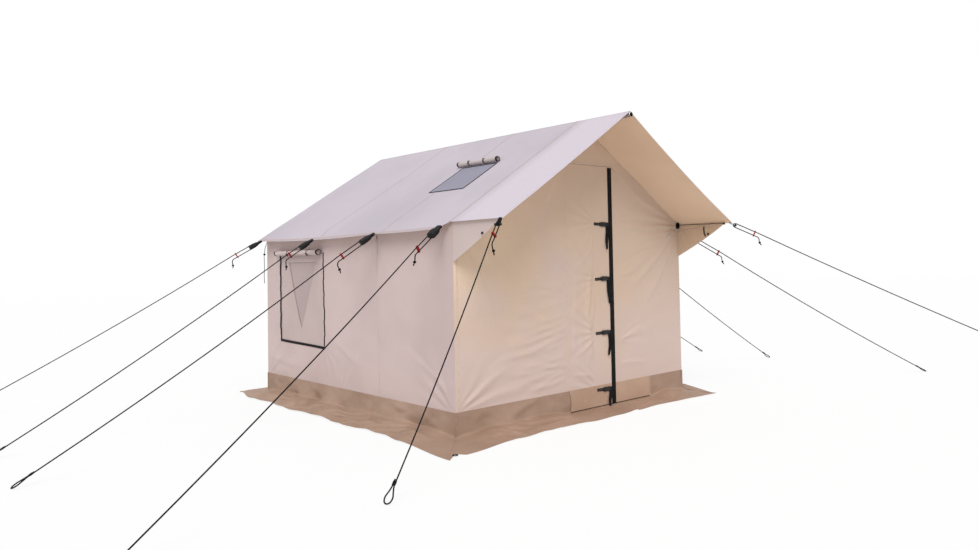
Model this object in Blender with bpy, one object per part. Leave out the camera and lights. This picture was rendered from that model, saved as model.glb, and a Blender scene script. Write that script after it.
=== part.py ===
"""A canvas wall tent on a pole frame, with its awning, door, windows, sod cloth and guy lines.

Metres, +Z up. The door faces -Y, and the ground is at Z zero.
"""

import math

import bmesh
import bpy
from mathutils import Matrix, Vector
from mathutils.geometry import tessellate_polygon

# Body of the tent
TENT_WIDTH = 2.44
TENT_LENGTH = 3.05
EAVE_HEIGHT = 1.49
RIDGE_HEIGHT = 2.295
ORIGIN_BEHIND_FRONT = 1.3605
CANVAS = 0.003
SEAM_GAP = 0.0003

# Roof, awning and eave hem
AWNING_REACH = 0.55
AWNING_CORNER_LEAD = 0.025
AWNING_SIDE_HEM = 0.02
EAVE_HEM = 0.09
EAVE_HEM_RUN_OUT = 0.07
EAVE_DROOPS = ((0.07, 0.0), (0.90, 0.008), (1.945, 0.024), (2.99, 0.005), (3.05, 0.004))
ROOF_SAG = 0.012
RIDGE_SEAT = 0.10
TRUSS_SEAT = 0.06
EAVE_SEAT = 0.05

# Stove opening, in the left slope
STOVE_HOLE_NEAR = 0.46
STOVE_HOLE_LENGTH = 0.42
STOVE_HOLE_INNER = 0.50
STOVE_HOLE_WIDTH = 0.29
STOVE_PATCH_MARGIN = 0.02
STOVE_PATCH = 0.002
STOVE_ROLL_RADIUS = 0.021
STOVE_ROLL_INNER = 0.455
STOVE_ROLL_NEAR = 0.44
STOVE_ROLL_LENGTH = 0.53

# Windows, one in each side wall near the back
WINDOW_NEAR = 1.89
WINDOW_WIDTH = 0.85
WINDOW_SILL_BELOW_EAVE = 0.98
WINDOW_HEIGHT = 0.78
WINDOW_MARGIN = 0.02
WINDOW_SCREEN = 0.0015
WINDOW_NOTCH_SHARES = ((0.20, 0.96), (0.52, 0.16), (0.83, 0.96))
WINDOW_ROLL_RADIUS = 0.028
WINDOW_ROLL_RISE = 0.030
WINDOW_ROLL_OVERHANG = 0.045

# Rolled-up flaps
ROLL_CLOTH = 0.0024
ROLL_TURNS = 3
ROLL_STEPS = 12
ROLL_CORE_SHARE = 0.30

# Gussets between the awning's corners and the front corners of the walls
GUSSET_DROP = 0.32
GUSSET_CURVE_SHARES = ((0.33, 0.60), (0.66, 0.27))
GUSSET_TIP_MARGIN = 0.03

# Sod cloth round the foot of the walls
SOD_SEAM_HEIGHT = 0.18
SOD_APRON = 0.23
SOD_SCALLOP = 0.016
SOD_FOLD_RISE = 0.016
SOD_CREASE = 0.03
SOD_FOLD_PITCH = 0.60
SOD_STATION = 0.16
SOD_TIP_SHARE = 1.22
SOD_MITRE_SHARES = (1.0, 0.4)
SOD_SIDE_SLANT_SHARE = 1.1
SOD_END_SLANT_SHARE = 0.5
SOD_PROFILE_SHARES = ((0.15, 0.30), (0.50, 1.00), (1.00, 0.60))
SOD_BEND_SHARES = (0.20, 0.06)

# Doorway, off the tent's centre line
DOOR_HINGE_LEFT = -0.15
DOOR_ZIP = 0.31
DOOR_HINGE_RIGHT = 0.78
DOOR_HEAD_BELOW_RIDGE = 0.345
DOOR_HEAD_MARGIN = 0.155
DOOR_GAP = 0.002
DOOR_FOOT = 0.02
DOOR_SILL = 0.012
DOOR_STEP = 0.005
DOOR_TREAD_SHARE = 0.5

# Black strip over the zip, and the slider inside
STRIP_WIDTH = 0.046
STRIP_THICKNESS = 0.002
STRIP_TOP_MARGIN = 0.01
SLIDER_BODY = (0.014, 0.006, 0.026)
SLIDER_PULL = (0.008, 0.003, 0.034)
SLIDER_HEIGHT = 0.15
SLIDER_EDGE = 0.002

# Side-release buckles across the zip
BUCKLE_HEIGHTS = (1.475, 1.035, 0.60, 0.145)
BUCKLE_SINK = 0.0008
SOCKET_LENGTH = 0.065
SOCKET_HALF = 0.019
SOCKET_DEPTH = 0.013
SOCKET_WAIST = 0.004
SOCKET_WALL = 0.0025
SOCKET_BORE_LENGTH = 0.038
SOCKET_SETBACK = 0.038
PLUG_FIT = 0.0005
PLUG_ARM = 0.005
PLUG_TONGUE = 0.006
PLUG_BASE = 0.030
PLUG_SHOULDER = 0.0016
PLUG_SLOT = 0.005
PLUG_SLOT_MARGIN = 0.005
TAIL_WIDTH = 0.020
TAIL_THICKNESS = 0.002
TAIL_LAP = 0.0025
TAIL_LENGTHS = (0.185, 0.18, 0.17, 0.09)
ANCHOR_TAB = (0.050, 0.0015, 0.024)
ANCHOR_TAB_LAP = 0.012

# Pole frame
POLE_RADIUS = 0.019
POLE_WALL = 0.0018
POLE_SIDES = 12
SPIGOT_LENGTH = 0.10
SPIGOT_FIT = 0.0004
RIDGE_POLE_NOTCH = 0.004
RIDGE_POLE_PROUD = 0.012
RIDGE_CHAMFER = 0.0015
BORE_OVERRUN = 0.01
FOOT_THICKNESS = 0.006
FOOT_CHAMFER = 0.002
NOTCH_STEPS = 8

# Straps at the eaves, with a bar at the end for the line
STRAP_WIDTH = 0.050
STRAP_THICKNESS = 0.012
STRAP_NECK = 0.006
STRAP_REACH = 0.085
AWNING_STRAP_REACH = 0.050
STRAP_LAP = 0.014
STRAP_BAR_FIT = 0.0007
STRAP_BAR_SIDES = 12
STRAP_WINDOW_WIDTH = 0.020
STRAP_WINDOW_LENGTH = 0.016

# Guy lines, 8 mm rope
LINE_RADIUS = 0.004
LINE_BEND = 0.016
LINE_STEP = 0.03
LINE_LEAD = 0.035
LINE_SPAN_SHARES = (0.35, 0.7)
GROUND_CLEARANCE = 0.001
LOOP_LENGTH_SHARE = 12.0
LOOP_SHARES = (
    (0.0, 0.0),
    (3.5, -1.0),
    (7.5, -2.6),
    (10.8, -1.9),
    (12.0, 0.6),
    (10.8, 3.0),
    (7.5, 3.7),
    (3.5, 2.1),
    (0.0, 1.3),
    (-4.0, 1.25),
)
TAIL_ROUTE = ((0.0, 0.0), (0.016, 0.008), (0.027, 0.022), (0.031, 0.042))
TENSIONER_PLATE = (0.052, 0.017, 0.010)
TENSIONER_CORNER = 0.005
TENSIONER_HOLE = 0.0047
TENSIONER_HOLE_SIDES = 12

# Each line: side, its strap's distance behind the front wall, its end on the ground (from the
# tent's centre line and the front wall), the tensioner's distance from the strap, its loose tail
LEFT, RIGHT = -1, 1
AWNING_LINE = -1.0
GUY_LINES = {
    "left_1": (LEFT, 0.055, (3.49, -0.845), 0.20, 0.06),
    "left_2": (LEFT, 0.90, (3.50, 0.985), 0.21, 0.10),
    "left_3": (LEFT, 1.92, (3.50, 1.90), 0.14, 0.10),
    "left_4": (LEFT, 2.97, (3.50, 3.87), 0.16, 0.09),
    "left_awning": (LEFT, AWNING_LINE, (2.25, -0.875), 0.08, 0.10),
    "right_1": (RIGHT, 0.055, (3.50, -1.25), 0.36, 0.06),
    "right_2": (RIGHT, 0.90, (3.50, 0.54), 0.17, 0.10),
    "right_3": (RIGHT, 1.92, (3.50, 1.50), 0.13, 0.10),
    "right_4": (RIGHT, 2.97, (3.50, 4.05), 0.15, 0.09),
    "right_awning": (RIGHT, AWNING_LINE, (3.30, -2.98), 0.175, 0.05),
}

# Cord that hangs from the eave hem at the back left corner
HANGING_CORD_RADIUS = 0.0025
HANGING_CORD_OUT = 1.272
HANGING_CORD_FIT = 0.0026
HANGING_CORD_ROUTE = (
    (0.0, 2.900, 0.0),
    (0.0, 2.900, 0.020),
    (0.002, 2.902, 0.090),
    (-0.002, 2.899, 0.170),
    (0.001, 2.901, 0.250),
    (-0.001, 2.898, 0.330),
    (0.004, 2.903, 0.380),
)

# Places worked out from the sizes above
HALF_WIDTH = TENT_WIDTH / 2
FRONT_Y = -ORIGIN_BEHIND_FRONT
BACK_Y = FRONT_Y + TENT_LENGTH
SLOPE = (RIDGE_HEIGHT - EAVE_HEIGHT) / HALF_WIDTH
SLOPE_ANGLE = math.atan(SLOPE)
ROOF_DROP = CANVAS / math.cos(SLOPE_ANGLE)
INNER_HALF_WIDTH = HALF_WIDTH - CANVAS - SEAM_GAP
WINDOW_SILL = EAVE_HEIGHT - WINDOW_SILL_BELOW_EAVE
DOOR_HEIGHT = RIDGE_HEIGHT - DOOR_HEAD_BELOW_RIDGE
POLE_SEAT = POLE_RADIUS + SEAM_GAP
UP = Vector((0.0, 0.0, 1.0))

COLOURS = {
    "roof_canvas": ((0.66, 0.60, 0.68), 0.92, 0.0),
    "wall_canvas": ((0.60, 0.46, 0.36), 0.92, 0.0),
    "sod_cloth": ((0.44, 0.29, 0.19), 0.8, 0.0),
    "window_mesh": ((0.45, 0.38, 0.34), 0.9, 0.0),
    "stove_patch": ((0.16, 0.17, 0.22), 0.7, 0.0),
    "black_webbing": ((0.012, 0.012, 0.014), 0.75, 0.0),
    "black_plastic": ((0.01, 0.01, 0.011), 0.4, 0.0),
    "red_alloy": ((0.42, 0.02, 0.025), 0.35, 0.8),
    "black_rope": ((0.016, 0.016, 0.018), 0.8, 0.0),
    "pole_steel": ((0.55, 0.56, 0.58), 0.35, 1.0),
}


def clear_scene():
    for thing in list(bpy.data.objects):
        bpy.data.objects.remove(thing, do_unlink=True)


def material(name):
    """The Principled material of one of the tent's finishes."""
    found = bpy.data.materials.get(name)
    if found:
        return found
    colour, roughness, metallic = COLOURS[name]
    made = bpy.data.materials.new(name)
    made.use_nodes = True
    shader = made.node_tree.nodes["Principled BSDF"]
    shader.inputs["Base Color"].default_value = (*colour, 1.0)
    shader.inputs["Roughness"].default_value = roughness
    shader.inputs["Metallic"].default_value = metallic
    return made


def add_mesh(name, mesh, finish):
    """A new object of that mesh and finish."""
    mesh.materials.append(material(finish))
    thing = bpy.data.objects.new(name, mesh)
    bpy.context.scene.collection.objects.link(thing)
    return thing


def finish_mesh(name, shape):
    """The mesh of a bmesh, with its faces pointing out."""
    bmesh.ops.recalc_face_normals(shape, faces=shape.faces)
    mesh = bpy.data.meshes.new(name)
    shape.to_mesh(mesh)
    shape.free()
    return mesh


def plate_mesh(name, outline, holes, thickness, place=Matrix.Identity(4)):
    """A flat plate: an outline with holes, both flat point lists, thickened along its own Z."""
    loops = [outline, *holes]
    shape = bmesh.new()
    low = [[shape.verts.new(place @ Vector((a, b, 0.0))) for a, b in loop] for loop in loops]
    high = [[shape.verts.new(place @ Vector((a, b, thickness))) for a, b in loop] for loop in loops]
    flat_low = [vert for loop in low for vert in loop]
    flat_high = [vert for loop in high for vert in loop]
    triangles = tessellate_polygon([[Vector((a, b, 0.0)) for a, b in loop] for loop in loops])
    for triangle in triangles:
        shape.faces.new([flat_low[index] for index in triangle])
        shape.faces.new([flat_high[index] for index in reversed(triangle)])
    for bottom, top in zip(low, high):
        for index, vert in enumerate(bottom):
            after = (index + 1) % len(bottom)
            shape.faces.new((vert, bottom[after], top[after], top[index]))
    return finish_mesh(name, shape)


def loft_mesh(name, sections):
    """A band of cloth through sections that each run along one face and back along the other."""
    shape = bmesh.new()
    rings = [[shape.verts.new(point) for point in section] for section in sections]
    for ring, following in zip(rings, rings[1:]):
        for index, vert in enumerate(ring):
            after = (index + 1) % len(ring)
            shape.faces.new((vert, ring[after], following[after], following[index]))
    for ring in (rings[0], rings[-1]):
        for index in range(len(ring) // 2 - 1):
            shape.faces.new((ring[index], ring[index + 1], ring[-index - 2], ring[-index - 1]))
    return finish_mesh(name, shape)


def sheet_mesh(name, rows, drop, is_open):
    """A cloth sheet from rows of top points, with a given drop to its underside and open cells."""
    shape = bmesh.new()
    top = [[shape.verts.new(point) for point in row] for row in rows]
    under = [[shape.verts.new(point - drop * UP) for point in row] for row in rows]
    edges = {}
    for i in range(len(rows) - 1):
        for j in range(len(rows[0]) - 1):
            if is_open(i, j):
                continue
            corners = ((i, j), (i + 1, j), (i + 1, j + 1), (i, j + 1))
            for side in (top, under):
                a, b, c, d = (side[m][n] for m, n in corners)
                shape.faces.new((a, b, c))
                shape.faces.new((a, c, d))
            for start, end in zip(corners, corners[1:] + corners[:1]):
                key = tuple(sorted((start, end)))
                edges[key] = edges.get(key, 0) + 1
    for (start, end), uses in edges.items():
        if uses == 1:
            a, b = top[start[0]][start[1]], top[end[0]][end[1]]
            c, d = under[end[0]][end[1]], under[start[0]][start[1]]
            shape.faces.new((a, b, c, d))
    loose = [vert for vert in shape.verts if not vert.link_faces]
    bmesh.ops.delete(shape, geom=loose, context="VERTS")
    return finish_mesh(name, shape)


def turned_mesh(name, profile, sides, place):
    """A turned body from a closed half outline of radius and height, placed by a matrix."""
    shape = bmesh.new()
    rings = []
    for radius, height in profile:
        if radius == 0:
            rings.append([shape.verts.new(place @ Vector((0.0, 0.0, height)))] * sides)
            continue
        turns = [2 * math.pi * step / sides for step in range(sides)]
        rings.append(
            [
                shape.verts.new(
                    place @ Vector((radius * math.cos(turn), radius * math.sin(turn), height))
                )
                for turn in turns
            ]
        )
    for ring, following in zip(rings, rings[1:] + rings[:1]):
        for step in range(sides):
            after = (step + 1) % sides
            face = []
            for vert in (ring[step], ring[after], following[after], following[step]):
                if vert not in face:
                    face.append(vert)
            if len(face) > 2:
                shape.faces.new(face)
    return finish_mesh(name, shape)


def pole_place(start, end):
    """A frame at start whose Z runs to end, turned alike for both directions of one line."""
    along = (end - start).normalized()
    across = along.cross(Vector((0.0, 1.0, 0.0)))
    if across.length < SEAM_GAP:
        across = Vector((1.0, 0.0, 0.0))
    across.normalize()
    third = along.cross(across)
    turned = Matrix((across, third, along)).transposed().to_4x4()
    return Matrix.Translation(start) @ turned


def rod_mesh(name, start, end, radius):
    """A solid rod between two points."""
    length = (end - start).length
    profile = ((0, 0.0), (radius, 0.0), (radius, length), (0, length))
    return turned_mesh(name, profile, POLE_SIDES, pole_place(start, end))


def box_outline(low_a, high_a, low_b, high_b):
    return [(low_a, low_b), (high_a, low_b), (high_a, high_b), (low_a, high_b)]


def facing(origin, first, second):
    """A frame whose plate outline lies along first and second, thickened along their cross."""
    third = first.cross(second)
    return Matrix.Translation(origin) @ Matrix((first, second, third)).transposed().to_4x4()


def side_frame(side, depth):
    """Outline along +Y and +Z, depth inside the side wall's outer face, thickened outwards."""
    if side == RIGHT:
        return facing(
            Vector((HALF_WIDTH - depth, FRONT_Y, 0.0)), Vector((0, 1, 0)), Vector((0, 0, 1))
        )
    flipped = Matrix.Diagonal((-1.0, 1.0, 1.0, 1.0))
    return flipped @ side_frame(RIGHT, depth)


def end_frame(y):
    """Outline along +X and +Z at that distance, thickened towards +Y."""
    return Matrix.Translation((0.0, y, 0.0)) @ Matrix(
        ((1, 0, 0, 0), (0, 0, 1, 0), (0, 1, 0, 0), (0, 0, 0, 1))
    )


def union(thing, parts):
    """Weld other bodies onto an object with Boolean modifiers."""
    for part in parts:
        part.hide_render = True
        part.display_type = "WIRE"
        weld = thing.modifiers.new("weld", "BOOLEAN")
        weld.operation = "UNION"
        weld.object = part


def cut(thing, part):
    """Cut another body out of an object with a Boolean modifier."""
    part.hide_render = True
    part.display_type = "WIRE"
    cutter = thing.modifiers.new("cut", "BOOLEAN")
    cutter.operation = "DIFFERENCE"
    cutter.object = part


# Roof


def sag_share(low, high, value):
    """Nought at both ends of a span, one in its middle."""
    if not low < value < high:
        return 0.0
    return math.sin(math.pi * (value - low) / (high - low))


def hem_droop(y):
    """How far the eave's hem hangs below the roof's slope at that distance."""
    for (start, before), (end, after) in zip(EAVE_DROOPS, EAVE_DROOPS[1:]):
        if start < y - FRONT_Y <= end:
            return before + (after - before) * (y - FRONT_Y - start) / (end - start)
    return 0.0


def roof_top(x, y):
    """Height of the roof's upper face: straight on its poles, hanging a little between them."""
    across = sag_share(RIDGE_SEAT, HALF_WIDTH - EAVE_SEAT, abs(x))
    along = sag_share(FRONT_Y + TRUSS_SEAT, BACK_Y - TRUSS_SEAT, y)
    droop = hem_droop(y) * max(0.0, abs(x) - HALF_WIDTH) / EAVE_HEM
    return RIDGE_HEIGHT - SLOPE * abs(x) - ROOF_SAG * across * along - droop


def roof_under(x):
    """Height of the roof's underside where a pole carries it."""
    return RIDGE_HEIGHT - SLOPE * abs(x) - ROOF_DROP


def roof_columns(side_hem):
    """Distances from the ridge at which the roof has points, out to the hem."""
    inner = STOVE_HOLE_INNER
    outer = STOVE_HOLE_INNER + STOVE_HOLE_WIDTH
    spans = [
        RIDGE_SEAT,
        (RIDGE_SEAT + STOVE_ROLL_INNER) / 2,
        STOVE_ROLL_INNER,
        inner - STOVE_PATCH_MARGIN,
        inner,
        outer,
        outer + STOVE_PATCH_MARGIN,
        (outer + HALF_WIDTH) / 2,
        HALF_WIDTH - EAVE_SEAT,
        HALF_WIDTH,
        HALF_WIDTH + side_hem,
    ]
    return [-span for span in reversed(spans)] + [0.0] + spans


def stove_rows():
    near = FRONT_Y + STOVE_HOLE_NEAR
    far = near + STOVE_HOLE_LENGTH
    return near - STOVE_PATCH_MARGIN, near, far, far + STOVE_PATCH_MARGIN


def roof_rows():
    """Every row of the roof: its distance along the tent, and how far its hem stands out."""
    patch_near, near, far, patch_far = stove_rows()
    rest = BACK_Y - TRUSS_SEAT - patch_far
    rows = [
        (FRONT_Y - AWNING_REACH, AWNING_SIDE_HEM),
        (FRONT_Y - AWNING_REACH / 2, AWNING_SIDE_HEM),
        (FRONT_Y, AWNING_SIDE_HEM),
        (FRONT_Y + TRUSS_SEAT, EAVE_HEM * TRUSS_SEAT / EAVE_HEM_RUN_OUT),
        (patch_near, EAVE_HEM),
        (near, EAVE_HEM),
        (far, EAVE_HEM),
        (patch_far, EAVE_HEM),
    ]
    rows += [(patch_far + rest * share / 4, EAVE_HEM) for share in (1, 2, 3, 4)]
    rows.append((BACK_Y, EAVE_HEM))
    return rows


def awning_lead(row, x):
    """How far a point of the awning's edge lies ahead of its peak."""
    return AWNING_CORNER_LEAD * abs(x) / (HALF_WIDTH + AWNING_SIDE_HEM) if row == 0 else 0.0


def strap_bodies(name, root, reach, axes):
    """A folded strap on the hem, thick at its end where it goes round a bar, with its window."""
    along, under, beside = axes
    bar = LINE_BEND - LINE_RADIUS - STRAP_BAR_FIT
    near = reach - bar * math.cos(math.pi / STRAP_BAR_SIDES)
    half, neck = STRAP_THICKNESS / 2, STRAP_NECK / 2
    outline = [(near - STRAP_WINDOW_LENGTH, half), (-STRAP_LAP, half)]
    outline += [(-STRAP_LAP, -half), (near - STRAP_WINDOW_LENGTH, -half), (near, -neck)]
    for step in range(1, STRAP_BAR_SIDES):
        turn = 2 * math.pi * step / STRAP_BAR_SIDES - math.pi
        outline.append((reach + bar * math.cos(turn), bar * math.sin(turn)))
    outline.append((near, neck))
    place = facing(root + beside * STRAP_WIDTH / 2, along, under)
    strap = add_mesh(name, plate_mesh(name, outline, [], STRAP_WIDTH, place), "black_webbing")
    far = near + STRAP_BAR_FIT / 2
    window = box_outline(far - STRAP_WINDOW_LENGTH, far, -LINE_BEND, LINE_BEND)
    place = facing(root + beside * STRAP_WINDOW_WIDTH / 2, along, under)
    mesh = plate_mesh("window", window, [], STRAP_WINDOW_WIDTH, place)
    cut(strap, add_mesh("window_" + name, mesh, "black_webbing"))
    return strap


def line_anchor(side, distance):
    """The hem point that a guy line's strap is sewn to, and the strap's reach to its bar."""
    if distance == AWNING_LINE:
        x = side * (HALF_WIDTH + AWNING_SIDE_HEM)
        y = FRONT_Y - AWNING_REACH - AWNING_CORNER_LEAD + STRAP_WIDTH / 2
        reach = AWNING_STRAP_REACH
    else:
        hem = min(EAVE_HEM, EAVE_HEM * distance / EAVE_HEM_RUN_OUT)
        x = side * (HALF_WIDTH + hem)
        y = FRONT_Y + distance
        reach = STRAP_REACH
    return Vector((x, y, roof_top(x, y) - ROOF_DROP / 2)), reach


def ground_end(side, place):
    """Where a line's loop lies on the ground."""
    x, y = place
    return Vector((side * x, FRONT_Y + y, LINE_RADIUS + GROUND_CLEARANCE))


def line_axes(root, ground):
    """Directions along a line, under it and beside it; its upper run ends at the ground point."""
    along = (ground - root).normalized()
    for _ in range(3):
        under = along.cross(along.cross(UP)).normalized()
        along = (ground - root + under * LINE_BEND).normalized()
    beside = along.cross(UP).normalized()
    return along, along.cross(beside), beside


def build_roof():
    rows = []
    for row, (y, hem) in enumerate(roof_rows()):
        columns = roof_columns(hem)
        rows.append([Vector((x, y - awning_lead(row, x), roof_top(x, y))) for x in columns])
    patch_near, near, far, patch_far = stove_rows()
    columns = roof_columns(EAVE_HEM)
    hole_column = columns.index(-(STOVE_HOLE_INNER + STOVE_HOLE_WIDTH))
    hole_row = [y for y, hem in roof_rows()].index(near)
    roof = add_mesh(
        "roof_canvas",
        sheet_mesh("roof", rows, ROOF_DROP, lambda i, j: (i, j) == (hole_row, hole_column)),
        "roof_canvas",
    )
    straps = []
    for name, (side, distance, ground, hold, tail) in GUY_LINES.items():
        root, reach = line_anchor(side, distance)
        axes = line_axes(root, ground_end(side, ground))
        straps.append(strap_bodies(f"strap_{name}", root, reach, axes))
    union(roof, straps)

    corners = [-(STOVE_HOLE_INNER + STOVE_HOLE_WIDTH + STOVE_PATCH_MARGIN)]
    corners += [-(STOVE_HOLE_INNER + STOVE_HOLE_WIDTH), -STOVE_HOLE_INNER]
    corners.append(-(STOVE_HOLE_INNER - STOVE_PATCH_MARGIN))
    lift = (STOVE_PATCH + SEAM_GAP) / math.cos(SLOPE_ANGLE)
    patch = [
        [Vector((x, y, roof_top(x, y) + lift)) for x in corners]
        for y in (patch_near, near, far, patch_far)
    ]
    thickness = STOVE_PATCH / math.cos(SLOPE_ANGLE)
    mesh = sheet_mesh("stove_patch", patch, thickness, lambda i, j: False)
    add_mesh("stove_opening_patch", mesh, "stove_patch")
    build_stove_roll(FRONT_Y + STOVE_ROLL_NEAR, FRONT_Y + STOVE_ROLL_NEAR + STOVE_ROLL_LENGTH)


def spiral_outline(radius):
    """A rolled-up cloth seen from its end: one band that winds in from the outside."""
    steps = ROLL_TURNS * ROLL_STEPS
    core = radius * ROLL_CORE_SHARE
    outer, inner = [], []
    for step in range(steps + 1):
        turn = 2 * math.pi * step / ROLL_STEPS
        out = core + (radius - core) * step / steps
        outer.append((out * math.cos(turn), out * math.sin(turn)))
        inside = out - ROLL_CLOTH
        inner.append((inside * math.cos(turn), inside * math.sin(turn)))
    return outer + inner[::-1]


def roll_mesh(name, radius, start, end, first, second):
    """A rolled flap from start to end, its outline along the two given directions."""
    outline = spiral_outline(radius)
    sections = [[point + first * a + second * b for a, b in outline] for point in (start, end)]
    return loft_mesh(name, sections)


def build_stove_roll(near, far):
    normal = Vector((-math.sin(SLOPE_ANGLE), 0.0, math.cos(SLOPE_ANGLE)))
    down = Vector((-math.cos(SLOPE_ANGLE), 0.0, -math.sin(SLOPE_ANGLE)))
    lift = STOVE_ROLL_RADIUS + SEAM_GAP
    x = -STOVE_ROLL_INNER
    ends = [Vector((x, y, roof_top(x, y))) + normal * lift for y in (near, far)]
    mesh = roll_mesh("stove_roll", STOVE_ROLL_RADIUS, *ends, -normal, down)
    add_mesh("stove_flap_roll", mesh, "roof_canvas")


# Walls and windows


def window_outline(margin):
    near = WINDOW_NEAR - margin
    far = WINDOW_NEAR + WINDOW_WIDTH + margin
    return box_outline(near, far, WINDOW_SILL - margin, WINDOW_SILL + WINDOW_HEIGHT + margin)


def build_side(side, word):
    """One side wall with its window: screen, inner curtain and the flap rolled up above it."""
    outline = box_outline(0.0, TENT_LENGTH, SOD_SEAM_HEIGHT, gable_top(HALF_WIDTH))
    hole = window_outline(0.0)
    mesh = plate_mesh("wall", outline, [hole], CANVAS, side_frame(side, CANVAS))
    add_mesh(f"wall_{word}", mesh, "wall_canvas")

    depth = CANVAS + SEAM_GAP + WINDOW_SCREEN
    frame = side_frame(side, depth)
    mesh = plate_mesh("screen", window_outline(WINDOW_MARGIN), [], WINDOW_SCREEN, frame)
    add_mesh(f"window_screen_{word}", mesh, "window_mesh")

    near, far = WINDOW_NEAR, WINDOW_NEAR + WINDOW_WIDTH
    wide, high = WINDOW_WIDTH, WINDOW_HEIGHT
    notch = [(far - wide * a, WINDOW_SILL + high * b) for a, b in WINDOW_NOTCH_SHARES]
    head = notch[0][1]
    curtain = [(near, WINDOW_SILL), (far, WINDOW_SILL), (far, head), *notch, (near, head)]
    frame = side_frame(side, depth + SEAM_GAP + WINDOW_SCREEN)
    mesh = plate_mesh("curtain", curtain, [], WINDOW_SCREEN, frame)
    add_mesh(f"window_curtain_{word}", mesh, "wall_canvas")

    x = side * (HALF_WIDTH + WINDOW_ROLL_RADIUS + SEAM_GAP)
    z = WINDOW_SILL + WINDOW_HEIGHT + WINDOW_ROLL_RISE
    start = Vector((x, FRONT_Y + near - WINDOW_ROLL_OVERHANG, z))
    end = Vector((x, FRONT_Y + far + WINDOW_ROLL_OVERHANG, z))
    mesh = roll_mesh("roll", WINDOW_ROLL_RADIUS, start, end, Vector((-side, 0, 0)), -UP)
    add_mesh(f"window_flap_roll_{word}", mesh, "wall_canvas")


def ridge_axis():
    """Height of the ridge pole's centre, which touches both slopes from below."""
    return roof_under(0.0) - POLE_SEAT / math.cos(SLOPE_ANGLE)


def ridge_notch():
    """Outline round the ridge pole where it passes through the front wall, left to right."""
    radius = POLE_RADIUS + RIDGE_POLE_NOTCH
    left = math.pi / 2 + SLOPE_ANGLE + math.acos(POLE_RADIUS / radius)
    right = math.pi - left
    points = []
    for step in range(NOTCH_STEPS + 1):
        turn = left + (2 * math.pi + right - left) * step / NOTCH_STEPS
        points.append((radius * math.cos(turn), ridge_axis() + radius * math.sin(turn)))
    return points


def door_head():
    """The doorway's upper outline, from the left hinge to the right: level, then down the slope."""
    low = roof_under(DOOR_HINGE_RIGHT) - DOOR_HEAD_MARGIN
    knee = DOOR_ZIP + STRIP_WIDTH
    return [(DOOR_HINGE_LEFT, DOOR_HEIGHT), (knee, DOOR_HEIGHT), (DOOR_HINGE_RIGHT, low)]


def gable_top(x):
    return roof_under(x) - SEAM_GAP / math.cos(SLOPE_ANGLE)


def build_ends():
    """Front wall with its doorway, plain back wall, and the two gussets under the awning."""
    half = INNER_HALF_WIDTH
    foot = SOD_SEAM_HEIGHT
    head = door_head()
    jamb_left = DOOR_HINGE_LEFT - SEAM_GAP / 2
    jamb_right = DOOR_HINGE_RIGHT + SEAM_GAP / 2
    doorway = [(jamb_left, foot), (jamb_left, head[0][1]), head[1], (jamb_right, head[2][1])]
    front = [(-half, foot), *doorway, (jamb_right, foot), (half, foot)]
    front += [(half, gable_top(half)), *ridge_notch()[::-1], (-half, gable_top(half))]
    mesh = plate_mesh("front", front, [], CANVAS, end_frame(FRONT_Y))
    add_mesh("wall_front", mesh, "wall_canvas")

    back = [(-half, foot), (half, foot), (half, gable_top(half))]
    back += [(0.0, gable_top(0.0)), (-half, gable_top(half))]
    mesh = plate_mesh("back", back, [], CANVAS, end_frame(BACK_Y - CANVAS))
    add_mesh("wall_back", mesh, "wall_canvas")

    top = gable_top(HALF_WIDTH)
    tip = -(AWNING_REACH - GUSSET_TIP_MARGIN)
    outline = [(-SEAM_GAP, top - GUSSET_DROP), (-SEAM_GAP, top), (tip, top)]
    outline += [
        (tip * (1 - along), top - GUSSET_DROP * (1 - drop))
        for along, drop in GUSSET_CURVE_SHARES
    ]
    for side, word in ((LEFT, "left"), (RIGHT, "right")):
        mesh = plate_mesh("gusset", outline, [], CANVAS, side_frame(side, CANVAS))
        add_mesh(f"awning_gusset_{word}", mesh, "wall_canvas")


# Sod cloth


def sod_section(top, reach, rise):
    """One cut through the sod cloth: outward distance and height, down the band and out."""
    outer = [(0.0, top)]
    outer.append((0.0, CANVAS + top * SOD_BEND_SHARES[0]))
    outer.append((SOD_CREASE / 4, CANVAS + top * SOD_BEND_SHARES[1]))
    inner = [(-CANVAS, top), (-CANVAS, top * SOD_BEND_SHARES[0])]
    inner.append((0.0, top * SOD_BEND_SHARES[1] / 4))
    for share, lift in SOD_PROFILE_SHARES:
        distance = SOD_CREASE + (reach - SOD_CREASE) * share
        outer.append((distance, CANVAS + rise * lift))
        inner.append((distance, rise * lift))
    return outer + inner[::-1]


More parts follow.
